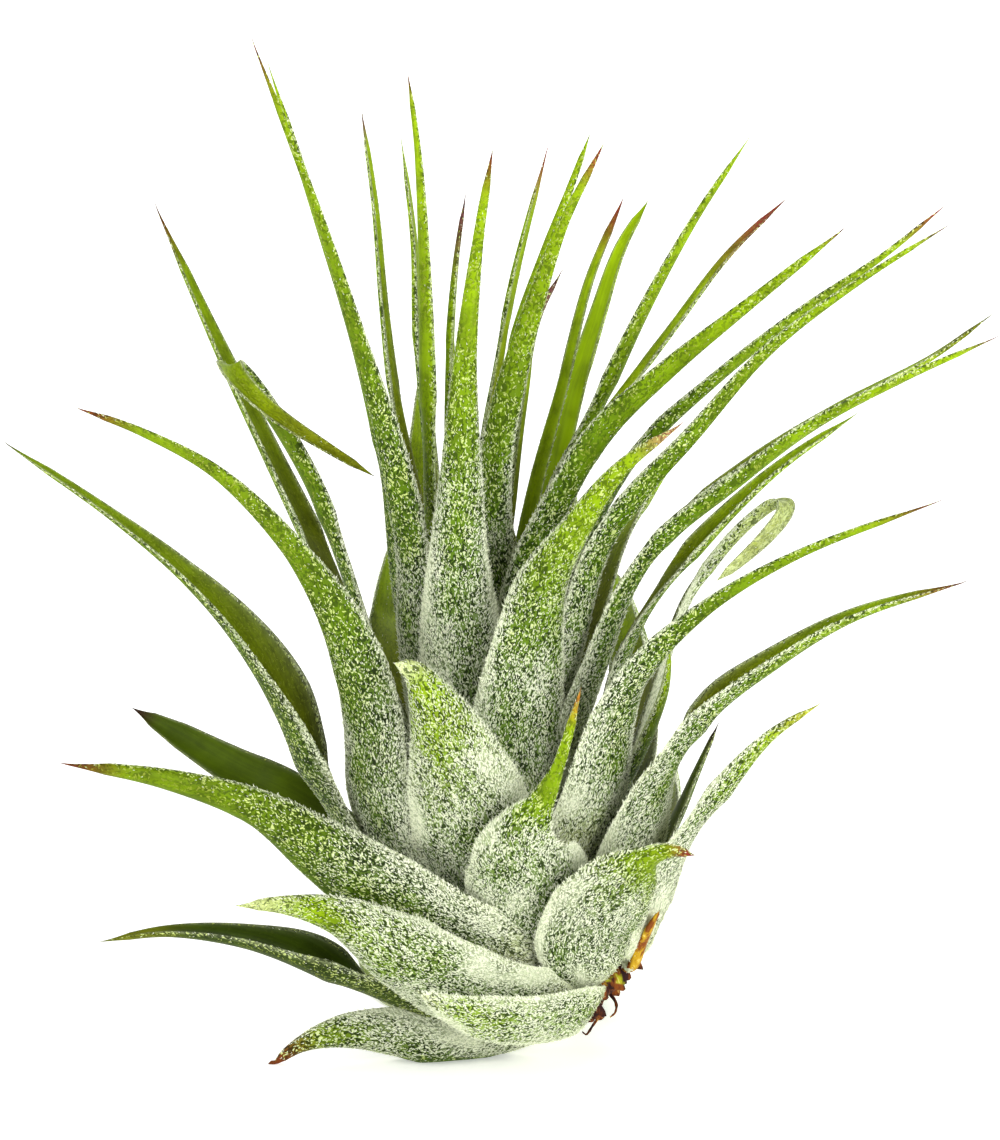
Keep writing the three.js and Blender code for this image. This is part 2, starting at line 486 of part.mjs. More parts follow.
// The floor seen from the leaning plant: all that reaches below it is worn away, which leaves flat spots.
function belowFloor() {
  const ground = new THREE.BoxGeometry(GROUND_SIZE, GROUND_SIZE, GROUND_DEPTH);
  ground.deleteAttribute("normal");
  ground.deleteAttribute("uv");
  ground.translate(0, 0, -GROUND_DEPTH / 2);
  ground.rotateX(LEAN_BACK * RAD);
  ground.translate(0, 0, FLOOR_RISE / Math.cos(LEAN_BACK * RAD));
  return toSolid(ground);
}

function largestBody(solid) {
  return solid.decompose().sort((a, b) => b.volume() - a.volume())[0];
}

// Where a leaf would press into one rooted lower, the upper one makes room.
function plantSolids() {
  const floor = belowFloor();
  const stem = toSolid(stemGeometry());
  let rooted = stem;
  for (const places of ROOTLETS) rooted = rooted.add(rootlet(places));
  const solids = [["stem", rooted]];
  const grown = LEAVES.map((leaf) => toSolid(leafGeometry(leaf, CLEARANCE)));
  LEAVES.forEach((leaf, i) => {
    let solid = toSolid(leafGeometry(leaf)).subtract(floor);
    if (solid.intersect(stem).volume() > TOUCH) solid = solid.subtract(toSolid(stemGeometry(CLEARANCE)));
    for (let j = 0; j < i; j++) {
      if (solid.intersect(solids[j + 1][1]).volume() > TOUCH) solid = solid.subtract(grown[j]);
    }
    solids.push([leaf[0], largestBody(solid)]);
  });
  return solids;
}

const plant = new THREE.Group();
for (const [name, solid] of plantSolids()) plant.add(toMesh(solid, name, LOOKS[name] ?? LEAF_GREEN));
plant.rotation.x = -LEAN_BACK * RAD;
const middle = new THREE.Box3().setFromObject(plant, true).getCenter(new THREE.Vector3());
plant.position.set(-middle.x, -middle.y, -FLOOR_RISE);

const part = new THREE.Group();
part.add(plant);
export default part;
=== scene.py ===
"""A silver-scaled air plant, dressed for its portrait: fine leaves with their silvery scales, the dry stub of the
stem with its rootlets, and a pale stage. Lengths in the leaf table are millimetres; objects are in metres."""

import json
import math
from collections import namedtuple
from functools import partial

import bpy
import numpy as np
from bpy.props import FloatProperty, FloatVectorProperty, IntProperty, PointerProperty
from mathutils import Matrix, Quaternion, Vector, noise

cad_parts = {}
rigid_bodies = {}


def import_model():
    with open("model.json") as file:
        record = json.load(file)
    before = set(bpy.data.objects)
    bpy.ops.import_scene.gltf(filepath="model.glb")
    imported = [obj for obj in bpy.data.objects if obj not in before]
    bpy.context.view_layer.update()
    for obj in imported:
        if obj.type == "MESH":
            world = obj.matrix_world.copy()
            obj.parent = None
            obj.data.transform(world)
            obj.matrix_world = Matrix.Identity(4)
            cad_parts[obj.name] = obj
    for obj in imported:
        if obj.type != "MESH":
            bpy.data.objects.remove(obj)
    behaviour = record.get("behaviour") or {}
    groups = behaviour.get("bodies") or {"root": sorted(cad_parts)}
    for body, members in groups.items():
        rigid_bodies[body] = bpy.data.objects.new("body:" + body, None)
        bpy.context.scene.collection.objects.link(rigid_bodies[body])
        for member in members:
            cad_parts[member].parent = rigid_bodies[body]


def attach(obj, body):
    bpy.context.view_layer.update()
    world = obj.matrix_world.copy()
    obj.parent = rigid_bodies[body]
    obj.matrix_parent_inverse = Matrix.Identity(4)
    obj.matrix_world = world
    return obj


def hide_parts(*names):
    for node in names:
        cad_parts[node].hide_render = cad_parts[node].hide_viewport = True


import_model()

bl_info = {
    "name": "Air plant",
    "version": (1, 0, 0),
    "blender": (4, 5, 0),
    "location": "View3D > Sidebar > Air plant",
    "description": "Makes the leaves, silvery scales, stub and stage of a small air plant",
    "category": "Object",
}

MM = 0.001
BODY = "root"

# The stem: a short bent line that the leaves are rooted on.
STEM_LENGTH = 30
STEM_FOOT_RADIUS = 3.6
STEM_BULGE = 3.2
BULGE_POWER = 0.75
STEM_HEAD_RADIUS = 1.8
STEM_FOOT = (11.2, -1, 8.2)
STEM_FOOT_TILT = math.radians(52)
STEM_HEAD_TILT = math.radians(5)
LEAN_BACK = math.radians(12)
HEAD_ROOM = 20
CLEARANCE = 0.3
SAMPLES_PER_MM = 8

# How a leaf's section goes from a sheath round the stem to a channelled blade.
SHEATH_THICKNESS = 0.62
BLADE_THICKNESS = 1.1
TIP_THICKNESS = 0.6
ROOT_WIDTH_SHARE = 0.55
CHANNEL_HALF_ANGLE = math.radians(70)
FREEING = 14
TIGHTEST_BY_THICKNESS = 0.85
TIGHTEST_BY_WIDTH = 0.53

# How finely a leaf is made: steps walked for each CAD ring, the fewest CAD rings, and columns of points on half of
# its outer and inner face.
STEPS_PER_RING = 10
FEWEST_RINGS = 12
OUTER_COLUMNS, INNER_COLUMNS = 7, 6

# How a fine blade closes: powers of its taper and of its crown, its least half thickness, the most of its channel's
# radius that half of it takes, and how far the scales of its edges splay.
TIP_TAPER = 0.8
WALL_CROWN = 2.2
THINNEST_HALF = 0.02
WIDEST_SINE = 0.95
EDGE_SPLAY = 0.9

# How silvery a leaf is, from 0 to 1: outside, inside with what the root adds, at its edges, and how patchy. No scale
# grows lower than the bare height over the floor.
OUTER_ROOT_SILVER, OUTER_TIP_SILVER = 0.84, 0.14
INNER_SILVER, INNER_ROOT_SILVER = 0.09, 0.03
EDGE_ROOT_SILVER, EDGE_TIP_SILVER = 0.9, 0.25
PATCHINESS = 0.55
BARE_HEIGHT = 0.5

# Where the leaning plant stands: its middle over the origin, and its lowest leaves worn flat on the floor.
PLANT_MIDDLE = (0.105, 18.70)
FLOOR_RISE = 1.75
FLOOR_GAP = 0.03
FLAT_THICKNESS = 0.4

# How a leaf differs from a plain green one: the colour of its tip, how much of its end (mm) that takes, how
# silvery it is, how deep its green is, where along it the silver gives way and over how much of it (shares of
# its length), and which side of it stays bare.
PLAIN = ("fresh", 3, 1, 0, 0.35, 0.55, 0)
Finish = namedtuple("Finish", "tip tip_length silver depth turn fade bare", defaults=PLAIN)

# A leaf: its name, root height up the stem, twist of the blade in degrees, how many stations its sheath hugs the
# stem for, its stations to the tip, and its finish. A station: right, back, up and the width across the channel.
Leaf = namedtuple("Leaf", "name root twist hug stations finish", defaults=(Finish(),))
LEAVES = [Leaf("leaf_" + name, *rest) for name, *rest in [
    ("foot_left", 0.8, 40, 1, [(6, -1, 4.9, 5.4), (2, -1.8, 3.1, 7), (-2, -3, 2.6, 7.6), (-6.5, -4.2, 3, 7.4),
     (-11.3, -4.4, 3.9, 6.4), (-15.8, -4.4, 4, 4.7), (-19.8, -4.2, 2.9, 2.4), (-23.2, -4, 0.6, 0.8)],
     Finish("brown", 7, 1.05, 0.5, 0.75, 0.6)),
    ("front_low_white", 1.2, 0, 2, [(9, -9.8, 6.6, 5), (4, -13.8, 5.4, 6), (-1, -15.9, 5.6, 5.6),
     (-5.2, -16.7, 6.8, 3.4), (-8.4, -17, 8.6, 0.8)], Finish("cream", 4, 1.02, -0.2, 1.3)),
    ("left_low", 1.6, -55, 2, [(3, -6.4, 5.4, 7.4), (-4, -7.6, 6.1, 8.6), (-11.6, -7.4, 8.2, 8.6),
     (-18.5, -7, 11.7, 7), (-25, -6, 13.6, 4.4), (-33, -4, 14.3, 2.3), (-40.3, -1, 13.2, 0.8)],
     Finish("olive", 12, 0.5, 1)),
    ("left_pale", 1.8, 0, 2, [(7.8, -8.6, 7.7, 6.4), (2, -12.4, 7.2, 8.4), (-4, -14.6, 8.8, 9.8), (-10, -16, 12, 8.6),
     (-15.8, -17, 15.6, 4.8), (-21, -18, 16.9, 2.6), (-26.4, -19.5, 17, 0.8)],
     Finish("pale", 8, 0.95, 0.1, 0.75, 0.8)),
    ("right_low", 1.6, 15, 2, [(14, -4.6, 12.4, 7), (15.8, -7.4, 16.6, 9), (17.4, -8.6, 21.2, 9.4),
     (19.3, -9, 24.9, 8), (22.7, -10, 29.6, 5.4), (26.6, -11, 33.8, 3.2), (32.1, -13, 37.3, 0.8)],
     Finish("yellow", 8, 1.1, 0, 0.7, 0.6)),
    ("right_spur", 2.6, 0, 2, [(10, -9, 9.6, 7.4), (9.2, -13.2, 13.2, 11.4), (10.6, -15.6, 16.8, 11.6),
     (12.9, -17.2, 20, 8.6), (14.8, -18, 21.7, 3.6), (17, -18.4, 22.4, 2), (19.5, -18.6, 22, 0.8)],
     Finish("red", 3.4, 0.98, 0.3, 0.66, 0.4, 0.7)),
    ("left_brown_tip", 4, 10, 2, [(3.4, -11, 10.6, 9), (-3.6, -13.4, 13, 10), (-11.2, -14.4, 17.6, 9.4),
     (-17.6, -14.8, 22, 6.8), (-24, -15.4, 26.4, 4.2), (-33, -18, 29.4, 2.6), (-43.9, -22, 31.2, 0.8)],
     Finish("brown", 8, 0.85, 0.45, 0.5, 0.7, -1)),
    ("left_dark", 6, -60, 2, [(-6, 6.6, 18, 6), (-13, 7, 22.4, 5.6), (-20.5, 7.4, 27.6, 4.6), (-26.9, 8, 30.8, 4),
     (-32, 9, 33.7, 3), (-37, 10.5, 36.5, 0.8)], Finish("dark", 4, 0.45, 0.9)),
    ("right_thin_sliver", 6.2, 0, 2, [(14, 0.4, 19, 4.6), (17.6, -1, 25.4, 4), (19.6, -2, 30, 2.4),
     (22, -3, 35.4, 0.8)], Finish("dark", 5, 0.7, 0.8)),
    ("front_spur", 5, 0, 2, [(3.4, -10.4, 11.4, 10.4), (2.8, -14, 16, 12.4), (2.6, -16.6, 20.4, 12.2),
     (2.2, -18, 22.7, 9.6), (2.7, -18.8, 24.8, 6.2), (4.1, -19.4, 27.2, 3), (5.8, -20.2, 30.8, 1.4),
     (8.1, -21.6, 38.8, 0.8)], Finish("orange", 5, 1, 0, 0.6, 0.2)),
    ("left_long", 7.4, -38, 1, [(-12.6, -3, 20, 9), (-17.6, -5.4, 29, 8.8), (-21, -7.4, 37.3, 8),
     (-25.7, -8.4, 44.3, 5.4), (-31.5, -9.8, 50.2, 3.2), (-39, -11, 56.1, 1.8), (-49.8, -13, 63.4, 0.8)],
     Finish("dark", 3, 0.85, 0.5, 0.3)),
    ("right_channel", 8, 45, 2, [(11.2, -8, 16, 10), (13.8, -10.6, 22.8, 10), (16.3, -12, 30, 8),
     (20.4, -13, 36.5, 5.8), (27, -14.4, 41.4, 4.4), (34.9, -16, 45.8, 2.8), (46.8, -19, 49.4, 0.8)],
     Finish("brown", 9, 1, 0.15, 0.4)),
    ("front_hooked", 7.4, 0, 2, [(-1.4, -11.2, 17, 12), (-2.4, -14.4, 23, 13.2), (-3.9, -16.8, 29, 11.4),
     (-5.5, -18.2, 34, 7.8), (-7.2, -18.8, 37.9, 4.6), (-8.6, -18.8, 40.1, 2.8), (-10.5, -18.6, 41.1, 1.2)],
     Finish("pale", 4, 0.95, 0.1, 0.9, 0.8)),
    ("left_front", 9.6, 15, 2, [(-8.8, -8.8, 20, 9), (-12.2, -11, 27, 9), (-13.2, -12.6, 36, 8),
     (-15.8, -14, 44.5, 5.2), (-20.4, -15.6, 52.1, 2.7), (-27.9, -18, 59.8, 1.6), (-35.3, -21, 63.9, 1.1),
     (-42.2, -24, 66.5, 0.8)], Finish("brown", 8, 0.9, 0.3, 0.42)),
    ("right_front", 10.4, 10, 2, [(8, -11, 21.5, 9.5), (9.8, -13.8, 28.4, 8.4), (11.5, -15.4, 35.6, 6.4),
     (14.4, -16.6, 40.9, 3.8), (20.8, -18, 46.8, 2.1), (29.6, -20, 51.9, 1.4), (44.4, -23, 57.5, 0.8)],
     Finish("brown", 9, 0.88, 0.2, 0.4)),
    ("mid_pale_sliver", 10.8, 0, 2, [(11.6, -6, 27, 4), (14.6, -8, 33.6, 3), (16.4, -8.8, 38.4, 2),
     (17, -9, 42.6, 0.8)]),
    ("right_curled", 11.4, 0, 2, [(12, -2, 28, 4.6), (15.4, -4, 38, 3.4), (18.6, -4.6, 47.4, 2.3),
     (22, -4.2, 52.4, 2), (25.4, -4, 55.8, 2.1), (27.4, -4.2, 57.1, 2.1), (28.4, -5, 57, 2), (28.3, -5.9, 55.9, 1.8),
     (26.6, -6.4, 53.7, 1.7), (24.2, -6.8, 51.4, 1.4), (21.6, -7.2, 49.2, 0.8)], Finish("pale", 30, 1.3, 0, 0.6)),
    ("left_curled", 12, 20, 2, [(-9, -2, 33, 4.6), (-13, -4, 43, 4), (-15.6, -4.6, 51, 3.4), (-18.2, -4.4, 58.2, 2.5),
     (-21.9, -4, 64.8, 2.3), (-25.6, -4, 69.8, 2.4), (-27, -5, 70.9, 2.6), (-26, -6.8, 69.2, 2.4),
     (-22.6, -7.6, 66, 2), (-17.4, -8, 62.6, 1.4), (-12.4, -8.4, 59.6, 0.8)], Finish("olive", 22, 1, 0.3)),
    ("centre_right", 12.8, 0, 2, [(3, -11.6, 27, 11.5), (2.2, -13.2, 35, 10.4), (3, -14.8, 42.5, 8),
     (4.3, -16.2, 48.5, 5.8), (7.4, -17.6, 54, 3.6), (11.9, -19.2, 60.2, 2.1), (18.3, -22, 65.1, 0.8)],
     Finish("pink", 7, 0.95, 0, 0.56, 0.8)),
    ("right_long", 13.4, 15, 2, [(7, -9, 33, 5), (9.8, -10.8, 41.5, 4), (12.6, -11.8, 48.4, 3.3),
     (16.4, -12.6, 53.7, 2.8), (22.5, -13.6, 58.5, 2.4), (31, -15, 64.8, 2.1), (40, -17, 69.4, 1.3),
     (50, -20, 73.8, 0.8)], Finish("plum", 5, 0.9, 0)),
    ("right_mid", 14, 40, 2, [(9.6, -3.2, 32, 4.8), (12, -6, 41, 4.2), (15.7, -7.6, 48, 3.6), (20.6, -8.4, 53.9, 2.9),
     (27.5, -9, 60.4, 1.8), (35.9, -10, 66.2, 0.8)]),
    ("left_back_tall", 14.4, 0, 2, [(-8, 5, 30, 5), (-14, 6.6, 42, 4), (-18.7, 8.4, 53.1, 3.4),
     (-22.9, 10, 61.8, 2.8), (-27.7, 12.4, 71.8, 2.4), (-34.9, 17, 87.7, 0.8)], Finish("brown", 9, 0.85, 0.2)),
    ("right_upper", 15, 15, 2, [(5.6, -8.9, 36, 5), (7.3, -11.2, 44, 4), (9.6, -12.8, 51.8, 3.7),
     (13.4, -14, 57.6, 3), (18.9, -15.2, 63.6, 2.4), (26.5, -16.4, 72.1, 1.7), (35, -18, 78.6, 1.1),
     (45, -20, 84.9, 0.8)], Finish("plum", 5, 1, 0.1)),
    ("left_tallest", 15.8, 0, 2, [(-6.9, -6.2, 34, 5.4), (-8.5, -7.8, 43, 5), (-8.9, -9, 52, 4.5),
     (-10.8, -10, 61.7, 3.4), (-13.9, -11.4, 72.5, 2.1), (-18, -13.4, 85.5, 1.2), (-24.9, -17, 103.8, 0.8)],
     Finish("brown", 9, 1, 0.2, 0.4)),
    ("centre_front", 16.6, 0, 2, [(-3, -9.6, 34, 9), (-4, -11.2, 44, 8.4), (-4.2, -12.6, 51, 6.2),
     (-4, -13.6, 58.5, 4.5), (-3.5, -15, 71, 2.4), (-2.2, -17, 83, 1.2), (-0.7, -19.5, 92.2, 0.8)],
     Finish("brown", 6, 1.05, 0, 0.5)),
    ("right_long_upper", 17.2, 20, 2, [(8, -2, 38, 4), (12, -4, 47.4, 3.4), (16.5, -5.5, 54.4, 2.8),
     (25, -6.5, 61.2, 2.2), (34, -7, 66.8, 1.6), (43, -7, 71.6, 1.1), (49.4, -7, 76.1, 0.8)], Finish("olive", 12)),
    ("back_wide_green", 17.8, 0, 2, [(-6.2, -2.5, 43, 3.6), (-6.9, -3.4, 54, 3), (-7.1, -4, 66, 2.8),
     (-7.4, -4, 79.5, 1.9), (-8.1, -4, 92, 1.1), (-9.2, -4, 100.3, 0.8)], Finish("brown", 4, 0.7, -0.6)),
    ("back_flat_green", 18.4, 0, 2, [(2.8, 4.2, 46, 3), (5.2, 5.6, 58, 2.4), (7.4, 6.6, 67.8, 2.2),
     (9.8, 8, 75.8, 1.8), (12.1, 9.8, 82.6, 1.4), (14.9, 12, 87.5, 0.8)], Finish("fresh", 3, 0.5, -0.7)),
    ("upper_right", 19, 10, 2, [(1.2, -7, 43, 4), (2.4, -8.8, 50, 3.4), (5.8, -10, 57.2, 3.2),
     (10.3, -10.8, 64.2, 2.9), (17, -11.6, 70.5, 2.2), (24.8, -12.4, 76.8, 1.5), (34.6, -13.4, 84.6, 0.8)],
     Finish("brown", 4)),
    ("left_tall_pair", 19.6, 0, 2, [(-8.6, -4, 40, 4.4), (-10.2, -5.4, 50, 3.8), (-11.4, -6, 61.3, 3),
     (-14, -6.4, 72.5, 2.2), (-18.6, -6.4, 87, 1.4), (-23.3, -6, 101.5, 0.8)]),
    ("right_upper_pair", 20.2, 15, 2, [(5, -4, 44, 3.6), (8.5, -6, 53.5, 3), (14, -7.4, 62.5, 2.3),
     (21.2, -8.4, 69.3, 1.8), (30, -9, 76.2, 1.4), (38, -9.4, 81.6, 1.1), (44.6, -10, 86.9, 0.8)],
     Finish("red", 7, 1, 0.1)),
    ("mid_right", 20.8, 20, 2, [(3, -2, 46, 3), (5.2, -3.4, 57, 3), (9.4, -4.6, 66, 2.6), (14.1, -5.4, 76, 2),
     (19.3, -6, 85.3, 1.3), (25.1, -6.5, 93.9, 0.8)], Finish("fresh", 3, 0.9, -0.2)),
    ("centre_pair_front", 21.4, 0, 2, [(0.2, -5, 44, 4), (-0.5, -6.6, 53, 3.6), (-0.4, -7.6, 61.5, 3.4),
     (1.5, -8.6, 70.4, 2.6), (3.9, -9.6, 78.2, 1.8), (6.4, -10.6, 85, 1.1), (10.4, -12, 92.9, 0.8)],
     Finish("red", 6, 1, 0.05, 0.43)),
    ("back_pale", 22, 0, 2, [(-5.6, 3.4, 46, 2.6), (-8, 5, 56, 2), (-10.4, 6.6, 67.3, 1.5), (-11.5, 8, 76, 1.2),
     (-12.5, 10, 87, 1), (-13.9, 13, 96.7, 0.8)], Finish("plum", 5)),
    ("upper_right_thin", 22.6, 0, 2, [(4.6, 0.6, 48, 2.4), (7, 1.8, 61, 1.6), (11.5, 2.6, 67, 1.3),
     (17.1, 4, 74.4, 1.1), (22.8, 6, 81.9, 1), (28.8, 9, 87.7, 0.8)], Finish("red", 15, 0.9, -0.4)),
    ("left_thin", 23.2, 0, 2, [(-5.2, 1, 48, 2.2), (-6.9, 2, 60, 1.7), (-8.1, 2.8, 73, 1.4), (-8.5, 3.8, 83, 1.1),
     (-9.9, 5.4, 94, 0.8)]),
    ("centre_pair_back", 24, 0, 2, [(-1.2, -2, 48, 2.6), (-0.8, -3.5, 60, 2.2), (1.6, -4.5, 73, 1.6),
     (4.6, -5, 82, 1.3), (6.9, -5, 88, 1.1), (9.1, -5, 94, 0.8)]),
    ("mid_thin", 24.6, 0, 2, [(1.8, 1.5, 48, 2.2), (3.4, 2.6, 58, 1.6), (6.3, 3.2, 68.9, 1.2), (8.9, 4.2, 79.2, 1),
     (12.4, 6, 87.7, 0.8)], Finish("red", 8, 0.8, -0.6)),
    ("brown_tip_thin", 25.2, 0, 2, [(-4.2, -1.2, 48, 2), (-5, -1.6, 60, 1.5), (-4.9, -1.6, 72.5, 1.2),
     (-4.3, -1.6, 81, 1), (-3.3, -1.6, 88.3, 0.8)], Finish("plum", 12, 0.8, -0.4)),
    ("centre_short_dark", 25.8, 0, 2, [(0.4, -0.8, 49, 1.8), (1.2, -0.8, 58, 1.5), (2.3, -0.8, 66.8, 1.3),
     (3.9, -0.8, 75.3, 1.1), (6.4, -0.8, 80.5, 0.8)], Finish("plum", 11, 0.8, 0.1)),
    ("centre_thin", 26.4, 0, 2, [(-2, 1.4, 49, 2), (-1.6, 1.4, 62, 1.5), (-0.2, 1.2, 70.5, 1.3), (1.6, 1, 80, 1.2),
     (5, 1, 93.2, 0.8)], Finish("red", 8, 0.8, 0)),
    ("back_foot_right", 1.2, 0, 2, [(10.2, 7.6, 8.6, 7), (10.6, 14, 8.1, 7), (10.6, 21, 8.1, 6), (9.6, 30, 10.3, 4),
     (8.6, 40, 14.4, 0.8)]),
    ("back_foot_left", 2, 0, 2, [(1.6, 9, 7.4, 9), (-4, 16, 7.3, 10), (-8.4, 24, 8, 8.2), (-12, 34, 10.6, 4.8),
     (-15, 45, 15.4, 0.8)]),
    ("back_low_right", 4.4, 0, 2, [(11.4, 6, 13, 9), (14, 10.6, 18.6, 9.6), (15.8, 17, 24, 7.6),
     (16.6, 26, 28.6, 4.8), (16.4, 38, 31.6, 0.8)]),
    ("back_low", 5.4, 0, 2, [(7.6, 10.6, 12.4, 11.6), (5.8, 15.6, 18, 12.8), (4.2, 22.4, 24.4, 10),
     (2.6, 32, 30.4, 5.6), (1, 46, 34.4, 0.8)]),
    ("back_low_left", 6.6, 0, 2, [(-2.6, 10.6, 15.6, 11), (-8, 14.6, 22, 11.4), (-11.4, 21, 28, 8.6),
     (-13, 31, 33.4, 4.8), (-13.8, 43, 36.4, 0.8)]),
    ("back_mid_right", 9.6, 0, 2, [(11.4, 7.2, 22, 10), (13.4, 11, 29.6, 10.4), (13.8, 17.4, 38, 7.6),
     (12.6, 26, 45.6, 4.4), (11, 38, 51, 0.8)]),
    ("back_mid", 11.6, 0, 2, [(1.4, 10.6, 25, 11.6), (0.4, 13.8, 33, 11.4), (-0.6, 19.6, 42.4, 8),
     (-1.8, 29, 51, 4.4), (-3, 42, 57, 0.8)]),
    ("back_mid_left", 13, 0, 2, [(-8, 7.8, 27, 9), (-10.4, 11, 35, 8.6), (-11, 16.4, 43, 6), (-10.6, 24, 50, 3.6),
     (-9.6, 35, 56, 0.8)]),
    ("back_high_right", 15.6, 0, 2, [(5, 7.6, 34, 8.4), (6.2, 10.6, 43, 7.6), (6.4, 15.4, 51, 5),
     (6.6, 22, 58.6, 2.8), (7, 31, 65.4, 0.8)]),
    ("back_high_left", 17.2, 0, 2, [(-4.6, 7.4, 38, 7.6), (-6.6, 10.4, 47.6, 6.6), (-7.8, 15, 57, 4.2),
     (-7.8, 22, 65.6, 2.4), (-7.4, 31, 72.6, 0.8)]),
    ("back_inner_right", 18.6, 0, 2, [(7, 3.6, 38, 6), (9.4, 5.4, 46, 5), (12, 9, 53.2, 3.4), (15.4, 14.4, 59, 2.1),
     (19, 22, 63.6, 0.8)]),
    ("back_inner", 20, 0, 2, [(-1.4, 5.6, 40, 6), (-2.6, 8, 48.6, 5.2), (-3.4, 12.4, 56.6, 3.8), (-3.8, 19, 64, 2.4),
     (-3.8, 28, 70, 0.8)]),
    ("back_inner_left", 20.6, 0, 2, [(-7.4, 3, 38, 5.2), (-8.6, 5.4, 45, 4.4), (-9.4, 9.6, 51.6, 3.3),
     (-9.8, 15.6, 57, 2.2), (-10, 23, 61, 0.8)]),
    ("dry_strip", 0.6, 0, 1, [(13.2, -5.6, 10.8, 2), (14.2, -7.6, 13.2, 1.8), (15.1, -9.4, 15, 1.4),
     (15.9, -10.6, 16.4, 0.8)]),
]]

# The dry strip of leaf, and its number in the patterns.
DRY_STRIP = "leaf_dry_strip"
STRIP_NUMBER = 90


def paint(red, green, blue):
    """A colour picked as 0 to 255 on a screen, as the linear numbers that shaders take."""
    return tuple((c / 255) ** 2.2 for c in (red, green, blue))


def colour_of(name, description, shade):
    return FloatVectorProperty(
        name=name, description=description, size=3, subtype="COLOR", min=0, max=1, default=paint(*shade)
    )


def number_of(name, description, default, **more):
    return FloatProperty(name=name, description=description, default=default, **more)


def length_of(name, description, millimetres):
    return number_of(name, description, millimetres * MM, min=0, unit="LENGTH", precision=5)


class LeafSettings(bpy.types.PropertyGroup):
    """Sizes and colours of the leaves"""

    rings_per_step: IntProperty(name="Fineness", description="Rings in each tenth of a CAD ring", default=5, min=1)
    margin: length_of("Margin", "Thickness of a leaf at its edges", 0.12)
    slimming: number_of("Tip slimming", "Share of its width that a leaf loses at its tip", 0.3, subtype="FACTOR")
    fresh: colour_of("Fresh green", "Bare upper blades", (158, 192, 8))
    green: colour_of("Leaf green", "Outer faces under the scales", (88, 122, 14))
    deep: colour_of("Deep green", "Shaded and dark leaves", (62, 80, 8))
    olive: colour_of("Olive", "Inner faces near their roots", (116, 122, 10))
    cream: colour_of("Cream", "Roots of the sheaths", (226, 232, 190))
    rim: colour_of("Rim", "Silvery rims of the leaves", (216, 224, 190))
    yellow: colour_of("Yellow tip", "Yellowed tips", (186, 190, 60))
    brown: colour_of("Brown tip", "Dried tips", (120, 62, 28))
    dark: colour_of("Dark tip", "Dead dark tips", (56, 36, 24))
    red: colour_of("Red tip", "Reddened tips", (150, 62, 48))
    orange: colour_of("Orange tip", "Orange tips", (186, 120, 44))
    pink: colour_of("Pink tip", "Pinkish tips", (186, 132, 104))
    plum: colour_of("Plum tip", "Purple-brown tips", (124, 76, 78))
    pale: colour_of("Pale tip", "Cream-green tips", (214, 226, 160))


class ScaleSettings(bpy.types.PropertyGroup):
    """Sizes and colour of the silvery scales"""

    length: length_of("Length", "Length of a scale", 0.42)
    width: length_of("Width", "Width of a scale at its foot", 0.17)
    thickness: length_of("Thickness", "Thickness of a scale at its foot", 0.05)
    lift: number_of("Lift", "How far a scale stands off, against its lie", 0.38, min=0)
    scatter: number_of("Scatter", "How far scales turn from their lie", 0.5, min=0)
    crowding: number_of("Crowding", "Scales on a square millimetre of a fully silvered face", 17, min=0)
    seed: IntProperty(name="Seed", description="Seed of the scatter", default=7)
    silver: colour_of("Silver", "Colour of the scales", (231, 236, 208))


class StubSettings(bpy.types.PropertyGroup):
    """Colours of the dry stub, its rootlets and the dry strip of leaf"""

    rootlet_radius: length_of("Rootlet radius", "Radius of a rootlet at its root", 0.2)
    bark: colour_of("Bark", "Dry bark", (120, 62, 6))
    wound: colour_of("Wound", "Dark torn core", (40, 10, 4))
    sap: colour_of("Living edge", "Yellow-green edge that is still alive", (164, 168, 24))
    straw: colour_of("Straw", "Pale dry fibres", (236, 214, 120))
    gold: colour_of("Gold", "Dry leaf", (184, 146, 26))
    sheath: colour_of("Sheath", "Living skin of the stem above its dry foot", (176, 190, 108))


class StageSettings(bpy.types.PropertyGroup):
    """The camera, the light and the floor"""

    distance: number_of("Camera distance", "From the plant's middle", 3, unit="LENGTH")
    frame_height: length_of("Frame height", "Height that the picture shows at the plant", 114)
    look_height: length_of("Look height", "Height up the leaning plant that the camera looks at", 50.3)
    floor_size: number_of("Floor size", "Side of the floor", 4, unit="LENGTH")
    floor: colour_of("Floor", "Colour of the floor", (250, 250, 248))
    key: number_of("Key light", "Power of the key light", 5, unit="POWER")
    fill: number_of("Fill light", "Power of the fill light", 3, unit="POWER")
    glow: number_of("Floor glow", "Strength of the lit floor, as on a light table", 0.4)
    rim: number_of("Back light", "Power of the back light", 4, unit="POWER")
    sky: number_of("Sky", "Strength of the light from all round", 0.5)


# ---------------------------------------------------------------- shapes


def smooth(x):
    x = min(max(x, 0.0), 1.0)
    return x * x * (3 - 2 * x)


def lerp(a, b, share):
    return a + (b - a) * share


def unit(v):
    return v / np.linalg.norm(v)


def stem_frame(height):
    """A point on the stem's bent centre line, with the directions along it and across it."""
    turn = (STEM_HEAD_TILT - STEM_FOOT_TILT) / STEM_LENGTH
    tilt = STEM_FOOT_TILT + turn * height
    point = np.array(STEM_FOOT, float)
    point[0] += (math.cos(tilt) - math.cos(STEM_FOOT_TILT)) / turn
    point[2] += (math.sin(tilt) - math.sin(STEM_FOOT_TILT)) / turn
    along = np.array([-math.sin(tilt), 0, math.cos(tilt)])
    across = np.array([math.cos(tilt), 0, math.sin(tilt)])
    return point, along, across


STEM_LINE = [stem_frame(i / SAMPLES_PER_MM) for i in range(SAMPLES_PER_MM * (STEM_LENGTH + HEAD_ROOM) + 1)]
STEM_POINTS = np.array([point for point, _, _ in STEM_LINE])


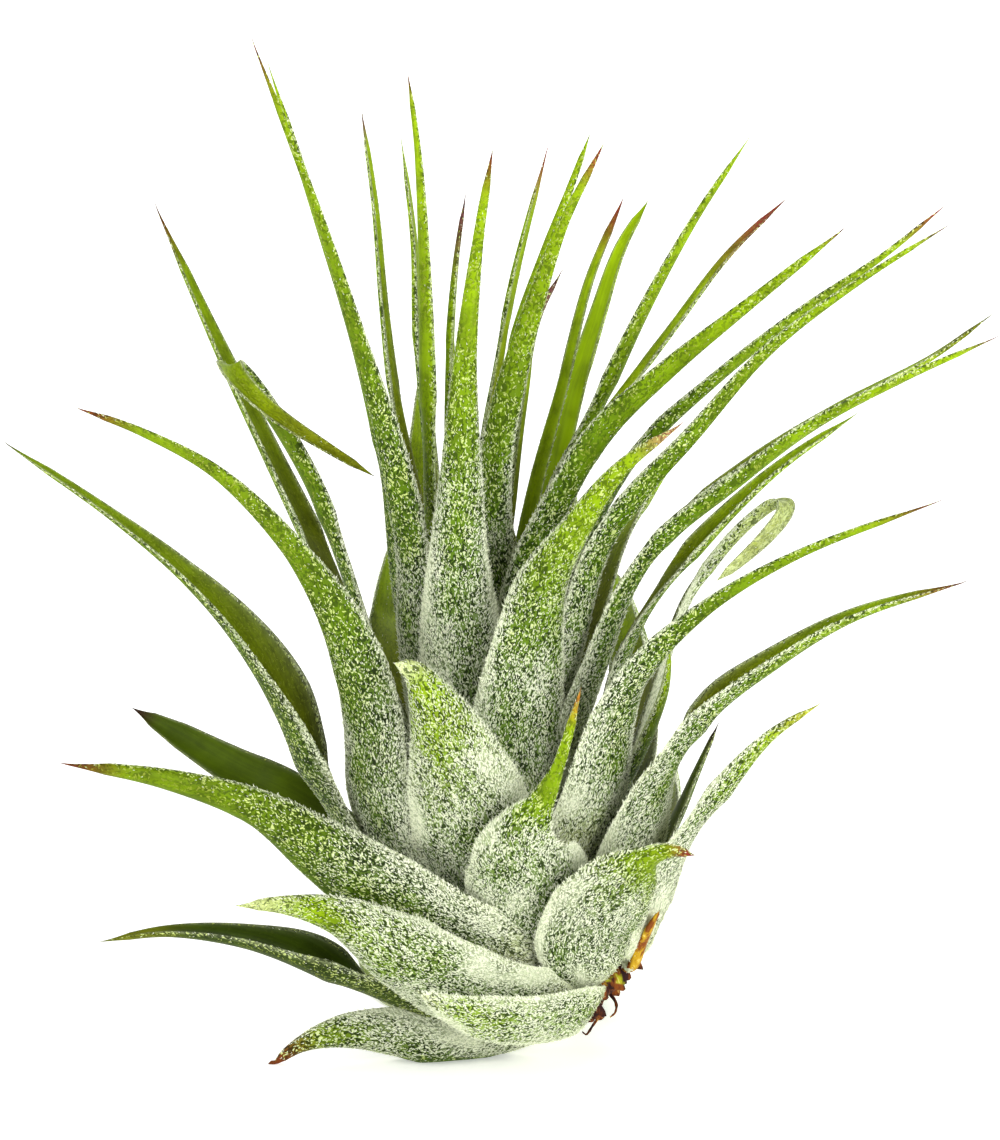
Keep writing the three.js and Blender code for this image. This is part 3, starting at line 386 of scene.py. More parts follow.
def nearest_on_stem(place):
    return STEM_LINE[int(np.argmin(((STEM_POINTS - place) ** 2).sum(1)))]


def stem_radius(height):
    share = height / STEM_LENGTH
    return lerp(STEM_FOOT_RADIUS, STEM_HEAD_RADIUS, share) + STEM_BULGE * math.sin(math.pi * share**BULGE_POWER)


def smooth_path(points):
    """A curve through the points, as a function of the share of points passed: (place, direction)."""
    points = [np.array(p, float) for p in points]
    points = [2 * points[0] - points[1], *points, 2 * points[-1] - points[-2]]
    last = len(points) - 3

    def at(share):
        i = min(int(share * last), last - 1)
        w = share * last - i
        p0, p1, p2, p3 = points[i : i + 4]
        d0, d1, d2 = (np.linalg.norm(b - a) ** 0.5 for a, b in ((p0, p1), (p1, p2), (p2, p3)))
        m1 = ((p1 - p0) / d0 - (p2 - p0) / (d0 + d1) + (p2 - p1) / d1) * d1
        m2 = ((p2 - p1) / d1 - (p3 - p1) / (d1 + d2) + (p3 - p2) / d2) * d1
        c2, c3 = -3 * p1 + 3 * p2 - 2 * m1 - m2, 2 * p1 - 2 * p2 + m1 + m2
        return p1 + m1 * w + c2 * w**2 + c3 * w**3, unit(m1 + 2 * c2 * w + 3 * c3 * w**2)

    return at


def leaf_rings(leaf, fineness):
    """A leaf's rings from root to tip: place, inward, across, tangent, width, thickness, radius, length so far, share
    of the free blade passed, and 1, falling to 0 over the last CAD ring. Then its tip and its whole length."""
    point, along, _ = stem_frame(leaf.root)
    out = np.array(leaf.stations[0][:3]) - point
    out = unit(out - along * out.dot(along))
    root_place = point + out * (stem_radius(leaf.root) + CLEARANCE + SHEATH_THICKNESS / 2)
    path = [root_place, *(s[:3] for s in leaf.stations)]
    widths = [ROOT_WIDTH_SHARE * leaf.stations[0][3], *(s[3] for s in leaf.stations)]
    at, last = smooth_path(path), len(path) - 1
    count = max(2 * len(leaf.stations) + 2, FEWEST_RINGS)
    steps, every = count * STEPS_PER_RING, STEPS_PER_RING // fineness
    rings, inward, free, length = [], None, 0.0, 0.0
    last_place = last_tangent = None
    for step in range(steps):
        s = step / steps
        place, tangent = at(s)
        near_point, near_along, _ = nearest_on_stem(place)
        if last_place is not None:
            length += np.linalg.norm(place - last_place)
        if s * last <= leaf.hug:
            to_axis = unit(near_point - place)
            square = np.cross(to_axis, tangent)
            around = unit(np.cross(to_axis, near_along))
            around = (around - tangent * around.dot(tangent)) * (1 - np.linalg.norm(square))
            inward = np.cross(tangent, unit(square + around))
        else:
            free += np.linalg.norm(place - last_place)
            bend = Vector(last_tangent).rotation_difference(Vector(tangent))
            inward = np.array(bend @ Vector(inward))
            inward = unit(inward - tangent * inward.dot(tangent))
        last_place, last_tangent = place, tangent
        if step % every:
            continue
        k = min(int(s * last), last - 1)
        width = lerp(widths[k], widths[k + 1], s * last - k)
        past = min(max((s * last - leaf.hug) / (last - leaf.hug), 0), 1)
        twist = Quaternion(Vector(tangent), math.radians(leaf.twist) * smooth(past * 2))
        section_in = np.array(twist @ Vector(inward))
        across = -np.cross(tangent, section_in)
        if past > 0:
            thick = lerp(BLADE_THICKNESS, TIP_THICKNESS, past)
        else:
            thick = lerp(SHEATH_THICKNESS, BLADE_THICKNESS, smooth(s * last / leaf.hug))
        freed = smooth(free / FREEING)
        radius = lerp(np.linalg.norm(near_point - place), width / (2 * math.sin(CHANNEL_HALF_ANGLE)), freed)
        radius = max(radius, TIGHTEST_BY_THICKNESS * thick, TIGHTEST_BY_WIDTH * width)
        half = math.asin(width / (2 * radius))
        centre = place - section_in * 0.5 * freed * radius * (1 - math.cos(half))
        ending = min((1 - s) * count, 1)
        rings.append((centre, section_in, across, tangent, width, thick, radius, length, past, ending))
    return rings, np.array(path[-1], float), length + np.linalg.norm(path[-1] - last_place)


# Where the columns of points lie across a blade, from -1 to 1: closer together near its edges.
OUTER = [math.sin(math.pi / 2 * i / OUTER_COLUMNS) for i in range(-OUTER_COLUMNS, OUTER_COLUMNS + 1)]
INNER = [math.sin(math.pi / 2 * i / INNER_COLUMNS) for i in range(INNER_COLUMNS - 1, -INNER_COLUMNS, -1)]


def lean(directions):
    """Directions drawn in the upright plant, leaned back."""
    x, y, z = np.array(directions, float).T
    sin, cos = math.sin(LEAN_BACK), math.cos(LEAN_BACK)
    return np.stack([x, y * cos + z * sin, z * cos - y * sin], 1)


def stand(points, lowest=FLOOR_GAP):
    """Places drawn in the upright plant, leaned back, moved over the origin and into metres."""
    x, back, up = lean(points).T
    up = np.maximum(up - FLOOR_RISE, lowest)
    return np.stack([x - PLANT_MIDDLE[0], back - PLANT_MIDDLE[1], up], 1) * MM


def wall_faces(rings, sides):
    """The faces between rings of vertices that follow one another."""
    faces = []
    for i in range(rings - 1):
        for j in range(sides):
            a, b = i * sides + j, i * sides + (j + 1) % sides
            faces.append((a, b, b + sides, a + sides))
    return faces


def mesh_of(name, places, faces):
    mesh = bpy.data.meshes.new(name)
    mesh.from_pydata(places.tolist(), [], faces)
    mesh.polygons.foreach_set("use_smooth", [True] * len(faces))
    return mesh


def skin_colour(finish, settings, reach, left, share, inner):
    """The colour under the scales at one place of a leaf."""
    shades = "fresh", "green", "deep", "olive", "cream", "rim", finish.tip
    fresh, green, deep, olive, cream, rim, tip = (np.array(getattr(settings, shade)) for shade in shades)
    if inner:
        colour = lerp(deep, olive, smooth(reach * 3 - 0.4))
        colour = lerp(colour, fresh, smooth(reach * 1.8 - 0.7))
    else:
        colour = lerp(cream, green, smooth(reach * 5 - 0.25))
        colour = lerp(colour, fresh, smooth(reach * 1.5 - 0.55))
    if finish.depth > 0:
        colour = lerp(colour, deep, finish.depth * smooth(reach * 5 - 0.25))
    else:
        colour = lerp(colour, fresh, -finish.depth)
    edge = smooth((abs(share) - 0.84) / 0.12) * lerp(0.85, 0.5, reach) * min(finish.silver, 1)
    return lerp(tip, lerp(colour, rim, edge), smooth((left / finish.tip_length - 0.2) / 0.8))


def silvering(finish, spot, reach, share, inner, up):
    """How silvery one place of a leaf is, from 0 to 1: patchy, and most at its root and its edges."""
    if up <= BARE_HEIGHT * MM:
        return 0
    edge, middle = smooth((abs(share) - (0.86 if inner else 0.72)) / 0.16), 1 - smooth(abs(share) * 1.3)
    if inner:
        cover = INNER_SILVER + INNER_ROOT_SILVER * (1 - smooth(reach * 2.5))
    else:
        patch = 1 + PATCHINESS * noise.noise(Vector((0.5 * spot[0], 0.25 * spot[1], spot[2] + 0.5)))
        given_way = smooth((reach - finish.turn) / finish.fade + 0.5)
        cover = lerp(OUTER_ROOT_SILVER, OUTER_TIP_SILVER, given_way) * (1 - 0.25 * middle) * patch
        cover *= 1 - 0.8 * smooth(finish.bare * share * 2.5 - 0.6) * smooth(reach * 3)
    cover = lerp(cover, 1, edge * lerp(EDGE_ROOT_SILVER, EDGE_TIP_SILVER, reach))
    return min(cover * finish.silver, 1)


def leaf_piece(leaf, settings, number):
    """A fine leaf: a closed channelled blade with what its skin and its scales read at each point."""
    rings, tip, whole = leaf_rings(leaf, settings.rings_per_step)
    thin = settings.margin / MM
    rows = []
    for centre, inward, across, tangent, width, thick, radius, length, past, ending in rings:
        slim = (1 - settings.slimming * past**3) * ending**TIP_TAPER
        half = math.asin(min(width / (2 * radius), WIDEST_SINE))
        for shares, side in ((OUTER, 1), (INNER, -1)):
            for share in shares:
                wall = thin / 2 + (thick * slim - thin) / 2 * (1 - abs(share) ** WALL_CROWN)
                if abs(share) > 0.999:
                    wall = 0
                angle, r = share * half, radius + side * max(wall, THINNEST_HALF)
                place = centre + slim * (inward * (radius - r * math.cos(angle)) + across * r * math.sin(angle))
                edge = smooth((abs(share) - 0.7) / 0.3)
                lie = tangent + edge * EDGE_SPLAY * math.copysign(1, share) * across
                rows.append((place, lie, share * half * radius * slim, length, share, side < 0))
    rows.append((tip, rings[-1][3], 0, whole, 0, False))
    places = stand([row[0] for row in rows])
    colours, covers, spots = [], [], []
    for (_, _, span, length, share, inner), place in zip(rows, places):
        if inner:
            place[2] = max(place[2], FLAT_THICKNESS * MM)
        reach, spot = length / whole, (span + 40 * inner, length, 17 * number)
        colours += [*skin_colour(leaf.finish, settings, reach, whole - length, share, inner), 1]
        covers.append(silvering(leaf.finish, spot, reach, share, inner, place[2]))
        spots += spot
    size = len(OUTER) + len(INNER)
    end = (len(rings) - 1) * size
    faces = [(0, *range(size - 1, 0, -1)), *wall_faces(len(rings), size)]
    faces += [(end + j, end + (j + 1) % size, len(rows) - 1) for j in range(size)]
    mesh = mesh_of(leaf.name, places, faces)
    for name, kind, field, values in (
        ("skin", "FLOAT_COLOR", "color", colours),
        ("cover", "FLOAT", "value", covers),
        ("spot", "FLOAT_VECTOR", "vector", spots),
        ("lie", "FLOAT_VECTOR", "vector", lean([row[1] for row in rows]).ravel()),
    ):
        mesh.attributes.new(name, kind, "POINT").data.foreach_set(field, values)
    return mesh


def tube(points, radii, sides=10, wobble=0.25):
    """Vertices and faces of a closed tube along a smooth path, with a radius for each point."""
    at, last = smooth_path(points), len(points) - 1
    steps = last * 8
    vertices = []
    for i in range(steps + 1):
        s = i / steps
        place, tangent = at(s)
        k = min(int(s * last), last - 1)
        radius = lerp(radii[k], radii[k + 1], s * last - k)
        side = unit(np.cross(tangent, (0.0, 1.0, 0.0)))
        other = np.cross(side, tangent)
        for j in range(sides):
            a = 2 * math.pi * j / sides
            r = radius * (1 + wobble * math.sin(3 * j + 0.9 * i) * math.sin(1.7 * j - 0.4 * i))
            vertices.append(place + r * (side * math.cos(a) + other * math.sin(a)))
    faces = wall_faces(steps + 1, sides)
    faces.append(tuple(range(sides - 1, -1, -1)))
    faces.append(tuple(range(steps * sides, (steps + 1) * sides)))
    return vertices, faces


def joined(parts):
    vertices, faces = [], []
    for more, new in parts:
        faces += [tuple(i + len(vertices) for i in face) for face in new]
        vertices += more
    return vertices, faces


STUB_RINGS = STUB_SIDES = 60
# The ribs round the stem: how high each is, how many, and how far they turn in each mm up it.
RIBS = ((0.16, 7, 0), (0.1, 17, 0.8), (0.06, 29, 0))
SKIN_DEPTH = 0.2
# The torn foot: how far up it reaches, and the rings of its hollow, as shares of its radius and depths.
TORN_HEIGHT = 3
HOLLOW = ((0.78, 0.1), (0.5, 0.9), (0.2, 1.3))


def stub_ring(height):
    """The stem's middle at a height, its direction, and the angles and directions round it."""
    point, along, across = stem_frame(height)
    angles = [2 * math.pi * j / STUB_SIDES for j in range(STUB_SIDES)]
    return point, along, [(a, across * math.cos(a) + np.array([0, 1, 0]) * math.sin(a)) for a in angles]


def stub_shape():
    """The stem: ribbed like dry bark, with a torn foot and a hollow in it."""
    vertices = []
    for i in range(STUB_RINGS + 1):
        height = STEM_LENGTH * (i / STUB_RINGS) ** 1.4
        point, along, round_it = stub_ring(height)
        for a, out in round_it:
            rib = sum(high * math.sin(many * a + turn * height) for high, many, turn in RIBS)
            torn = (1 - smooth(height / TORN_HEIGHT)) * (0.7 + 0.5 * math.sin(5 * a + 1) + 0.35 * math.sin(13 * a))
            vertices.append(point + out * (stem_radius(height) + rib - SKIN_DEPTH) - along * (torn - 0.4))
    faces = wall_faces(STUB_RINGS + 1, STUB_SIDES)
    faces.append(tuple(range(STUB_RINGS * STUB_SIDES, (STUB_RINGS + 1) * STUB_SIDES)))
    rims = [0]
    point, along, round_it = stub_ring(0)
    for share, depth in HOLLOW:
        rims.append(len(vertices))
        for a, out in round_it:
            rough = 0.2 * math.sin(9 * a) * math.cos(4 * a)
            vertices.append(point + out * STEM_FOOT_RADIUS * share + along * (depth + rough))
    for low, high in zip(rims, rims[1:]):
        for j in range(STUB_SIDES):
            k = (j + 1) % STUB_SIDES
            faces.append((low + k, low + j, high + j, high + k))
    faces.append(tuple(rims[-1] + j for j in range(STUB_SIDES - 1, -1, -1)))
    return vertices, faces


# The dry ends of the roots, each from inside the stub to its tip, and how thin a tip is, as a share of its root.
ROOTLETS = [
    [(9.4, -1.2, 8.8), (10, -1.8, 6), (9.2, -2.4, 4.7), (8.6, -2.8, 3.9), (8.2, -2.8, 4.2)],
    [(9.2, -1.6, 8.4), (9.8, -2.6, 6.4), (9.2, -3.2, 5.4), (8.1, -3.4, 5)],
    [(10, -1.6, 9), (11.6, -2.2, 7), (11.5, -2.4, 6.1), (11, -2.5, 5.6)],
]
ROOTLET_TIP = 0.35


def add_object(name, data):
    thing = bpy.data.objects.new(name, data)
    bpy.context.scene.collection.objects.link(thing)
    return thing


def place_piece(name, mesh, material, slot, *nodes):
    """Puts a finished mesh in the scene on the plant's body, in place of the CAD nodes that it stands for."""
    mesh.materials.clear()
    mesh.materials.append(material)
    piece = add_object(name, mesh)
    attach(piece, BODY)
    if nodes:
        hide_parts(*nodes)


# ---------------------------------------------------------------- node trees


def feed(socket, value):
    """Links an input to another node's output, or gives it a number or a colour."""
    if isinstance(value, bpy.types.NodeSocket):
        socket.id_data.links.new(value, socket)
    else:
        socket.default_value = (*value, 1) if socket.type == "RGBA" else value


def fill(node, **inputs):
    for key, value in inputs.items():
        feed(node.inputs[key.replace("_", " ")], value)


def put(tree, kind, options=None, **inputs):
    """Adds a node, sets its options, and fills its inputs."""
    node = tree.nodes.new(kind)
    for key, value in (options or {}).items():
        setattr(node, key, value)
    fill(node, **inputs)
    return node


def reckon(tree, kind, options, values):
    """Adds a node that works one value out of others, and gives that value's socket."""
    node = put(tree, kind, options)
    for socket, value in zip([s for s in node.inputs if s.enabled], values):
        feed(socket, value)
    return next(s for s in node.outputs if s.enabled)


def maths(tree, operation, *values):
    return reckon(tree, "ShaderNodeMath", {"operation": operation}, values)


def vector_maths(tree, operation, *values):
    return reckon(tree, "ShaderNodeVectorMath", {"operation": operation}, values)


def mix(tree, share, a, b, blend="MIX"):
    return reckon(tree, "ShaderNodeMix", {"data_type": "RGBA", "blend_type": blend}, (share, a, b))


def arithmetic(tree):
    return (partial(maths, tree, operation) for operation in ("ADD", "SUBTRACT", "MULTIPLY", "LESS_THAN"))


def ramp(tree, value, low, high):
    """0 below low, 1 above high, and smooth between them."""
    options = {"interpolation_type": "SMOOTHSTEP"}
    return put(tree, "ShaderNodeMapRange", options, Value=value, From_Min=low, From_Max=high).outputs["Result"]


def attribute(tree, name, output):
    return put(tree, "ShaderNodeAttribute", {"attribute_name": name}).outputs[output]


def mapped(tree, place, **how):
    return put(tree, "ShaderNodeMapping", Vector=place, **how).outputs[0]


def grain(tree, place, scale, output="Fac", **more):
    return put(tree, "ShaderNodeTexNoise", Vector=place, Scale=scale, **more).outputs[output]


def bumped(tree, height, distance, strength):
    return put(tree, "ShaderNodeBump", Height=height, Distance=distance, Strength=strength).outputs[0]


def new_material(name):
    material = bpy.data.materials.new(name)
    material.use_nodes = True
    tree = material.node_tree
    tree.nodes.clear()
    shader = put(tree, "ShaderNodeBsdfPrincipled")
    put(tree, "ShaderNodeOutputMaterial", Surface=shader.outputs[0])
    return material, tree, shader


# The skin's own shades: between its veins, its bloom and how strong that is, the painted shade of the scales as dark
# specks between them and how strong that is, and its dashes of silver from bare leaf to full cover.
VEIN_SHADE = paint(190, 190, 150)
BLOOM, BLOOM_STRENGTH = paint(210, 217, 184), 0.8
SCALE_SHADE, SCALE_SHADE_STRENGTH = paint(66, 82, 26), 0.9
BARE_DASH, DASH, FULL_DASH = paint(146, 158, 56), paint(212, 228, 134), paint(238, 242, 214)
DASH_STRENGTH = 0.8
# How many dashes, clouds and veins stand across a leaf, along it, and from leaf to leaf, in each mm.
DASH_SCALE = (7.4, 3.5, 1.0)
VEIN_SCALE = (2.6, 0.16, 1.0)
CLOUD_SCALE = 0.35


def leaf_skin():
    """Leaf skin: green with fine veins, dusted with tiny silver dashes that lie along the leaf."""
    material, tree, shader = new_material("leaf_skin")
    plus, minus, times, under = arithmetic(tree)
    spot, cover = attribute(tree, "spot", "Vector"), attribute(tree, "cover", "Fac")
    skin = attribute(tree, "skin", "Color")
    drift = vector_maths(tree, "SUBTRACT", grain(tree, spot, 1.3, "Color", Detail=2.0), (0.5, 0.5, 0.5))
    dashes = mapped(tree, vector_maths(tree, "ADD", spot, drift), Scale=DASH_SCALE)
    cells = put(tree, "ShaderNodeTexVoronoi", Vector=dashes, Scale=1.0)
    chance = put(tree, "ShaderNodeSeparateColor", Color=cells.outputs["Color"])
    grown = ramp(tree, cover, 0.03, 0.13)
    dash = times(minus(1.0, ramp(tree, cells.outputs["Distance"], 0.36, 0.6)), grown)
    silver = times(dash, under(chance.outputs[0], plus(times(cover, 0.55), 0.22)))
    # Painted shade: random cells between the silver dashes are darkened as if shaded by the scales. This is most on
    # half-silvered skin and less where the cover is thick.
    shaded_cells = under(chance.outputs[1], plus(times(cover, 0.2), 0.36))
    dark = times(shaded_cells, times(grown, ramp(tree, cover, -0.3, 0.5)))
    dark = times(dark, minus(1.0, times(ramp(tree, cover, 0.75, 1.0), 0.75)))
    veins = grain(tree, mapped(tree, spot, Scale=VEIN_SCALE), 1.0, Detail=3.0)
    tone = plus(times(veins, 0.5), times(grain(tree, spot, CLOUD_SCALE, Detail=3.0), 0.7))
    green = mix(tree, 1.0, skin, mix(tree, ramp(tree, tone, 0.35, 0.85), VEIN_SHADE, (1, 1, 1)), "MULTIPLY")
    dusted = mix(tree, times(maths(tree, "POWER", cover, 4.0), BLOOM_STRENGTH), green, BLOOM)
    # The painted scale shade darkens the dusted green in those cells.
    scale_shaded = mix(tree, times(dark, SCALE_SHADE_STRENGTH), dusted, SCALE_SHADE, "MULTIPLY")
    flake = mix(tree, ramp(tree, cover, 0.1, 0.18), BARE_DASH, DASH)
    flake = mix(tree, ramp(tree, cover, 0.18, 0.7), flake, FULL_DASH)
    fill(
        shader,
        Base_Color=mix(tree, times(silver, DASH_STRENGTH), scale_shaded, flake),
        Roughness=plus(0.5, times(cover, 0.3)),
        Specular_IOR_Level=0.1,
        Normal=bumped(tree, plus(silver, times(veins, 0.6)), 0.06 * MM, 0.7),
    )
    return material


def scale_shell(settings):
    """The silvery scales: pale, dry and matt."""
    material, _, shader = new_material("silver_scales")
    fill(shader, Base_Color=settings.silver, Roughness=0.6, Specular_IOR_Level=0.2)
    return material


# Dry fibres: how many stand in a metre across them, how they lie, and where the stem's living skin takes over
# from its dry foot, in mm.
FIBRE_SCALE = 1400.0
FIBRE_LIE = (0.2, -0.8, 0)
SHEATH_FROM, SHEATH_TO = 7, 11


def dry_skin(name, dark, main, light, pale, along_scale, sheath=None):
    """Dry bark or leaf: streaked along its fibres, dark in the torn places, paler where it still lives."""
    material, tree, shader = new_material(name)
    where = put(tree, "ShaderNodeTexCoord").outputs["Object"]
    lines = mapped(tree, where, Rotation=FIBRE_LIE, Scale=(FIBRE_SCALE, FIBRE_SCALE, along_scale))
    fibres = grain(tree, lines, 1.0, Detail=5.0, Roughness=0.62)
    blots = grain(tree, where, 420.0, Detail=3.0)
    colour = mix(tree, ramp(tree, fibres, 0.42, 0.6), dark, main)
    colour = mix(tree, ramp(tree, blots, 0.6, 0.7), colour, light)
    colour = mix(tree, ramp(tree, fibres, 0.62, 0.74), colour, pale)
    if sheath is not None:
        away = vector_maths(tree, "DISTANCE", where, stand([STEM_FOOT], 0)[0])
        colour = mix(tree, ramp(tree, away, SHEATH_FROM * MM, SHEATH_TO * MM), colour, sheath)
    bump = bumped(tree, fibres, 0.2 * MM, 0.8)
    fill(shader, Base_Color=colour, Roughness=0.7, Specular_IOR_Level=0.2, Normal=bump)
    return material


COAT_SIZES = ("Length", "Width", "Thickness", "Lift", "Scatter", "Crowding")
# The cover up to which no scale grows, and the scales on a square metre for each unit of crowding.
BARE_COVER = 0.08
CROWD = 1.1e6


def scale_coat():
    """Geometry Nodes: scatters silver scales over a leaf, thick where it is silvery, lying along it."""
    tree = bpy.data.node_groups.new("silver_scale_coat", "GeometryNodeTree")
    plus, minus, times, _ = arithmetic(tree)
    vector = partial(vector_maths, tree)
    tree.interface.new_socket("Geometry", in_out="OUTPUT", socket_type="NodeSocketGeometry")
    sizes = ((size, "Float") for size in COAT_SIZES)
    for name, kind in (("Leaf", "Geometry"), *sizes, ("Seed", "Int"), ("Finish", "Material")):
        tree.interface.new_socket(name, in_out="INPUT", socket_type="NodeSocket" + kind)
    given = put(tree, "NodeGroupInput").outputs
    cover = put(tree, "GeometryNodeInputNamedAttribute", {"data_type": "FLOAT"}, Name="cover").outputs[0]
    lie = put(tree, "GeometryNodeInputNamedAttribute", {"data_type": "FLOAT_VECTOR"}, Name="lie").outputs[0]
    crowd = times(minus(cover, BARE_COVER), times(given["Crowding"], CROWD))
    spread = put(
        tree, "GeometryNodeDistributePointsOnFaces", Mesh=given["Leaf"], Density=crowd, Seed=given["Seed"]
    ).outputs
    normal = spread["Normal"]

    def chance(kind, low, high, salt):
        node = put(tree, "FunctionNodeRandomValue", {"data_type": kind}, Seed=plus(given["Seed"], salt))
        shown = [s for s in node.inputs if s.enabled]
        shown[0].default_value, shown[1].default_value = low, high
        return next(s for s in node.outputs if s.enabled)

    stray = vector("SCALE", chance("FLOAT_VECTOR", (-1, -1, -1), (1, 1, 1), 11), given["Scatter"])
    raised = times(given["Lift"], chance("FLOAT", 0.3, 1.7, 23))
    way = vector("ADD", vector("NORMALIZE", lie), stray)
    flat = vector("SUBTRACT", way, vector("PROJECT", way, normal))
    way = vector("ADD", flat, vector("SCALE", normal, raised))
    align = "FunctionNodeAlignRotationToVector"
    turn = put(tree, align, {"axis": "Z"}, Vector=way).outputs[0]
    turn = put(tree, align, {"axis": "Y", "pivot_axis": "Z"}, Rotation=turn, Vector=normal).outputs[0]
    size = times(chance("FLOAT", 0.6, 1.25, 37), plus(times(cover, 0.55), 0.45))
    long, wide = times(given["Length"], size), times(given["Width"], size)
    shape = put(tree, "ShaderNodeCombineXYZ", X=wide, Y=given["Thickness"], Z=long).outputs[0]
    spike = put(
        tree, "GeometryNodeMeshCone", {"fill_type": "NGON"}, Vertices=3, Radius_Top=0.0, Radius_Bottom=0.5, Depth=1.0
    ).outputs["Mesh"]
    coat = put(
        tree, "GeometryNodeInstanceOnPoints", Points=spread["Points"], Instance=spike, Rotation=turn, Scale=shape
    )
    real = put(tree, "GeometryNodeRealizeInstances", Geometry=coat.outputs[0])
    finished = put(tree, "GeometryNodeSetMaterial", Geometry=real.outputs[0], Material=given["Finish"])
    put(tree, "NodeGroupOutput", Geometry=finished.outputs[0])
    return tree


def scales_on(leaf, tree, settings, material, number):
    """The coat of scales of one leaf, as a plain mesh."""
    coat = leaf.modifiers.new("scales", "NODES")
    coat.node_group = tree
    wanted = {size: getattr(settings, size.lower()) for size in COAT_SIZES}
    wanted |= {"Seed": settings.seed + 101 * number, "Finish": material}
    for item in tree.interface.items_tree:
        if item.in_out == "INPUT" and item.name in wanted:
            coat[item.identifier] = wanted[item.name]
    leaf.update_tag()
    view = bpy.context.evaluated_depsgraph_get()
    view.update()
    mesh = bpy.data.meshes.new_from_object(leaf.evaluated_get(view), depsgraph=view)
    leaf.modifiers.remove(coat)
    for extra in ("cover", "lie", "spot", "skin"):
        if extra in mesh.attributes:
            mesh.attributes.remove(mesh.attributes[extra])
    return mesh


# ---------------------------------------------------------------- operators


class AIRPLANT_OT_stage(bpy.types.Operator):
    """Set up the camera, the lights and the floor"""

    bl_idname = "airplant.stage"
    bl_label = "Stage"

    def execute(self, context):
        settings = context.scene.airplant_stage
        towards = Vector((0, -math.cos(LEAN_BACK), math.sin(LEAN_BACK)))
        target = Vector(stand([(0, 0, settings.look_height / MM)])[0])
        data = bpy.data.cameras.new("camera")
        camera = add_object("camera", data)
        camera.location = target + towards * settings.distance
        camera.rotation_mode = "QUATERNION"
        camera.rotation_quaternion = (-towards).to_track_quat("-Z", "Y")
        data.sensor_width = 36
        data.lens = data.sensor_width * settings.distance / settings.frame_height
        data.clip_start, data.clip_end = 0.1, 20
        context.scene.camera = camera

        for name, power, place, size in (
            ("key_light", settings.key, (0.5, -0.55, 0.2), 0.5),
            ("fill_light", settings.fill, (-0.55, -0.4, 0.3), 0.6),
            ("back_light", settings.rim, (0.1, 0.6, 0.55), 0.6),
        ):
            lamp = bpy.data.lights.new(name, "AREA")
            lamp.energy, lamp.size = power, size
            light = add_object(name, lamp)
            light.location = place
            light.rotation_euler = (target - light.location).to_track_quat("-Z", "Y").to_euler()

        world = bpy.data.worlds.new("studio")
        world.use_nodes = True
        fill(world.node_tree.nodes["Background"], Color=(1, 1, 1), Strength=settings.sky)
        context.scene.world = world
        context.scene.view_settings.view_transform = "Standard"

        half = settings.floor_size / 2
        mesh = bpy.data.meshes.new("floor")
        mesh.from_pydata([(-half, -half, 0), (half, -half, 0), (half, half, 0), (-half, half, 0)], [], [(0, 1, 2, 3)])
        material, tree, shader = new_material("pale_floor")
        where = put(tree, "ShaderNodeTexCoord").outputs["Object"]
        colour = mix(tree, grain(tree, where, 900.0), settings.floor, tuple(0.985 * c for c in settings.floor))
        fill(shader, Base_Color=colour, Roughness=0.9, Emission_Color=(1, 1, 1), Emission_Strength=settings.glow)
        mesh.materials.append(material)
        floor = add_object("floor", mesh)
        return {"FINISHED"}


class AIRPLANT_OT_leaves(bpy.types.Operator):
    """Make every living leaf of the rosette"""

    bl_idname = "airplant.leaves"
    bl_label = "Leaves"

    def execute(self, context):
        settings = context.scene.airplant_leaf
        skin = leaf_skin()
        for number, leaf in enumerate(LEAVES):
            if leaf.name != DRY_STRIP:
                mesh = leaf_piece(leaf, settings, number)
                place_piece(leaf.name.replace("leaf_", "blade_"), mesh, skin, "leaf", leaf.name)
        return {"FINISHED"}


class AIRPLANT_OT_scales(bpy.types.Operator):
    """Scatter the silvery scales over every living leaf"""

    bl_idname = "airplant.scales"
    bl_label = "Silvery scales"

    def execute(self, context):
        settings = context.scene.airplant_scale
        tree, material = scale_coat(), scale_shell(settings)
        for number, leaf in enumerate(LEAVES):
            if leaf.name == DRY_STRIP:
                continue
            blade = bpy.data.objects[leaf.name.replace("leaf_", "blade_")]
            mesh = scales_on(blade, tree, settings, material, number)
            if not mesh.polygons:
                raise RuntimeError(f"no scales grew on {blade.name}")
            name = leaf.name.replace("leaf_", "scales_")
            mesh.name = name
            place_piece(name, mesh, material, "leaf")
        return {"FINISHED"}


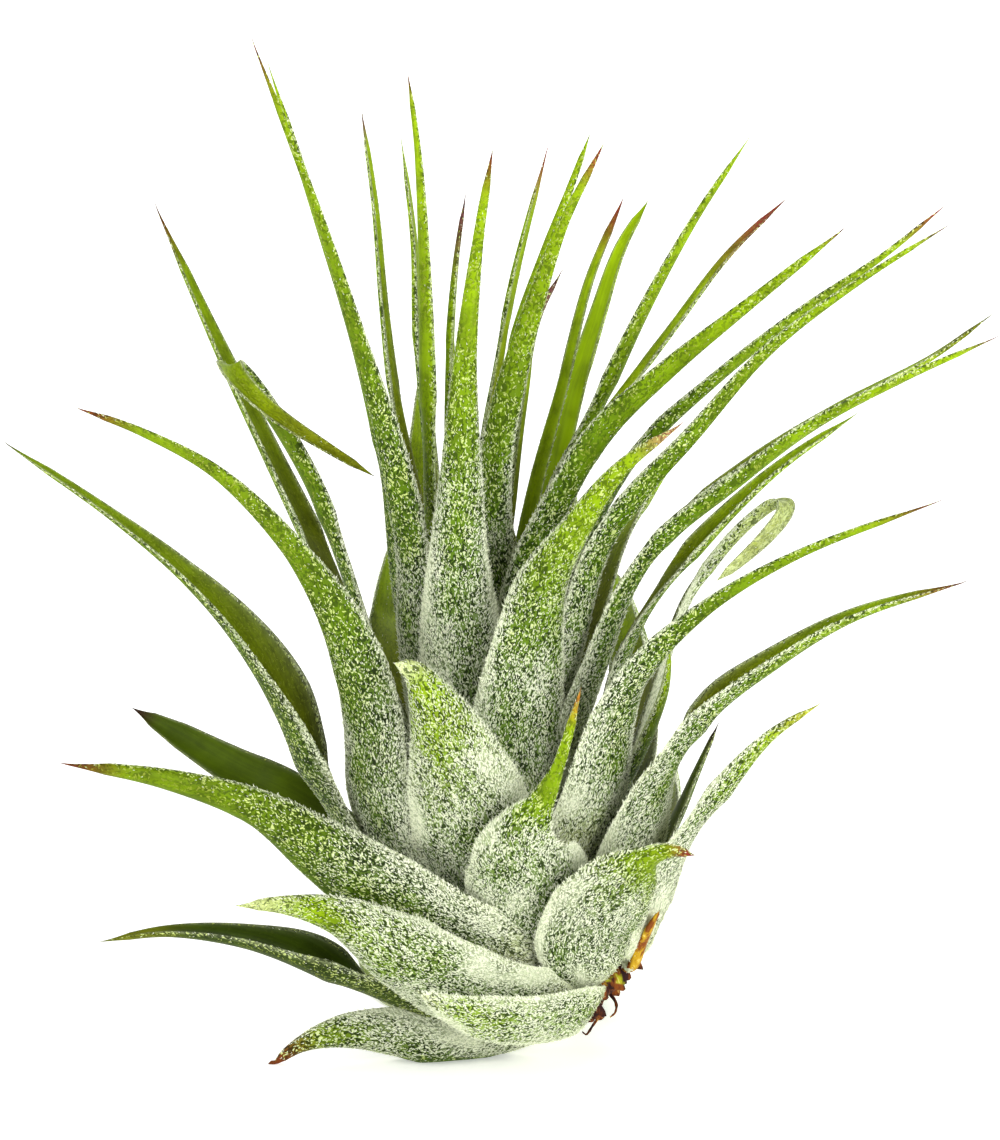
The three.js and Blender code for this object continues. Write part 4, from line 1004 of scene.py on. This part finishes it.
class AIRPLANT_OT_stub(bpy.types.Operator):
    """Make the stem with its dry stub and rootlets, and the dry strip of leaf"""

    bl_idname = "airplant.stub"
    bl_label = "Stub and dry strip"

    def execute(self, context):
        settings = context.scene.airplant_stub
        wound, bark, straw, gold = settings.wound, settings.bark, settings.straw, settings.gold
        thick = settings.rootlet_radius / MM
        parts = [stub_shape()]
        for places in ROOTLETS:
            last = len(places) - 1
            parts.append(tube(places, [thick * lerp(1, ROOTLET_TIP, i / last) for i in range(last + 1)]))
        vertices, faces = joined(parts)
        material = dry_skin("dry_bark", wound, bark, settings.sap, straw, 180.0, settings.sheath)
        place_piece("stub", mesh_of("stub", stand(vertices), faces), material, "stem", "stem")
        strip = next(leaf for leaf in LEAVES if leaf.name == DRY_STRIP)
        mesh = leaf_piece(strip, context.scene.airplant_leaf, STRIP_NUMBER)
        place_piece("dry_strip", mesh, dry_skin("dry_leaf", bark, gold, straw, straw, 160.0), "dry_leaf", DRY_STRIP)
        return {"FINISHED"}


class AIRPLANT_PT_panel(bpy.types.Panel):
    """Lists the steps that make the plant"""

    bl_idname = "AIRPLANT_PT_panel"
    bl_label = "Air plant"
    bl_space_type = "VIEW_3D"
    bl_region_type = "UI"
    bl_category = "Air plant"

    def draw(self, context):
        for operator in OPERATORS:
            self.layout.operator(operator.bl_idname)
        for group in GROUPS:
            box = self.layout.box()
            box.label(text=group.capitalize())
            settings = getattr(context.scene, "airplant_" + group)
            for key in settings.bl_rna.properties.keys():
                if key not in ("rna_type", "name"):
                    box.prop(settings, key)


OPERATORS = (AIRPLANT_OT_stage, AIRPLANT_OT_leaves, AIRPLANT_OT_scales, AIRPLANT_OT_stub)
GROUPS = {"leaf": LeafSettings, "scale": ScaleSettings, "stub": StubSettings, "stage": StageSettings}


def register():
    for group, kind in GROUPS.items():
        bpy.utils.register_class(kind)
        setattr(bpy.types.Scene, "airplant_" + group, PointerProperty(type=kind))
    for kind in (*OPERATORS, AIRPLANT_PT_panel):
        bpy.utils.register_class(kind)


def unregister():
    for kind in (AIRPLANT_PT_panel, *OPERATORS):
        bpy.utils.unregister_class(kind)
    for group, kind in GROUPS.items():
        delattr(bpy.types.Scene, "airplant_" + group)
        bpy.utils.unregister_class(kind)


def main():
    register()
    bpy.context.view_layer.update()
    bpy.ops.airplant.stage()
    bpy.ops.airplant.leaves()
    bpy.ops.airplant.scales()
    bpy.ops.airplant.stub()
    bpy.context.view_layer.update()


if __name__ == "__main__":
    main()
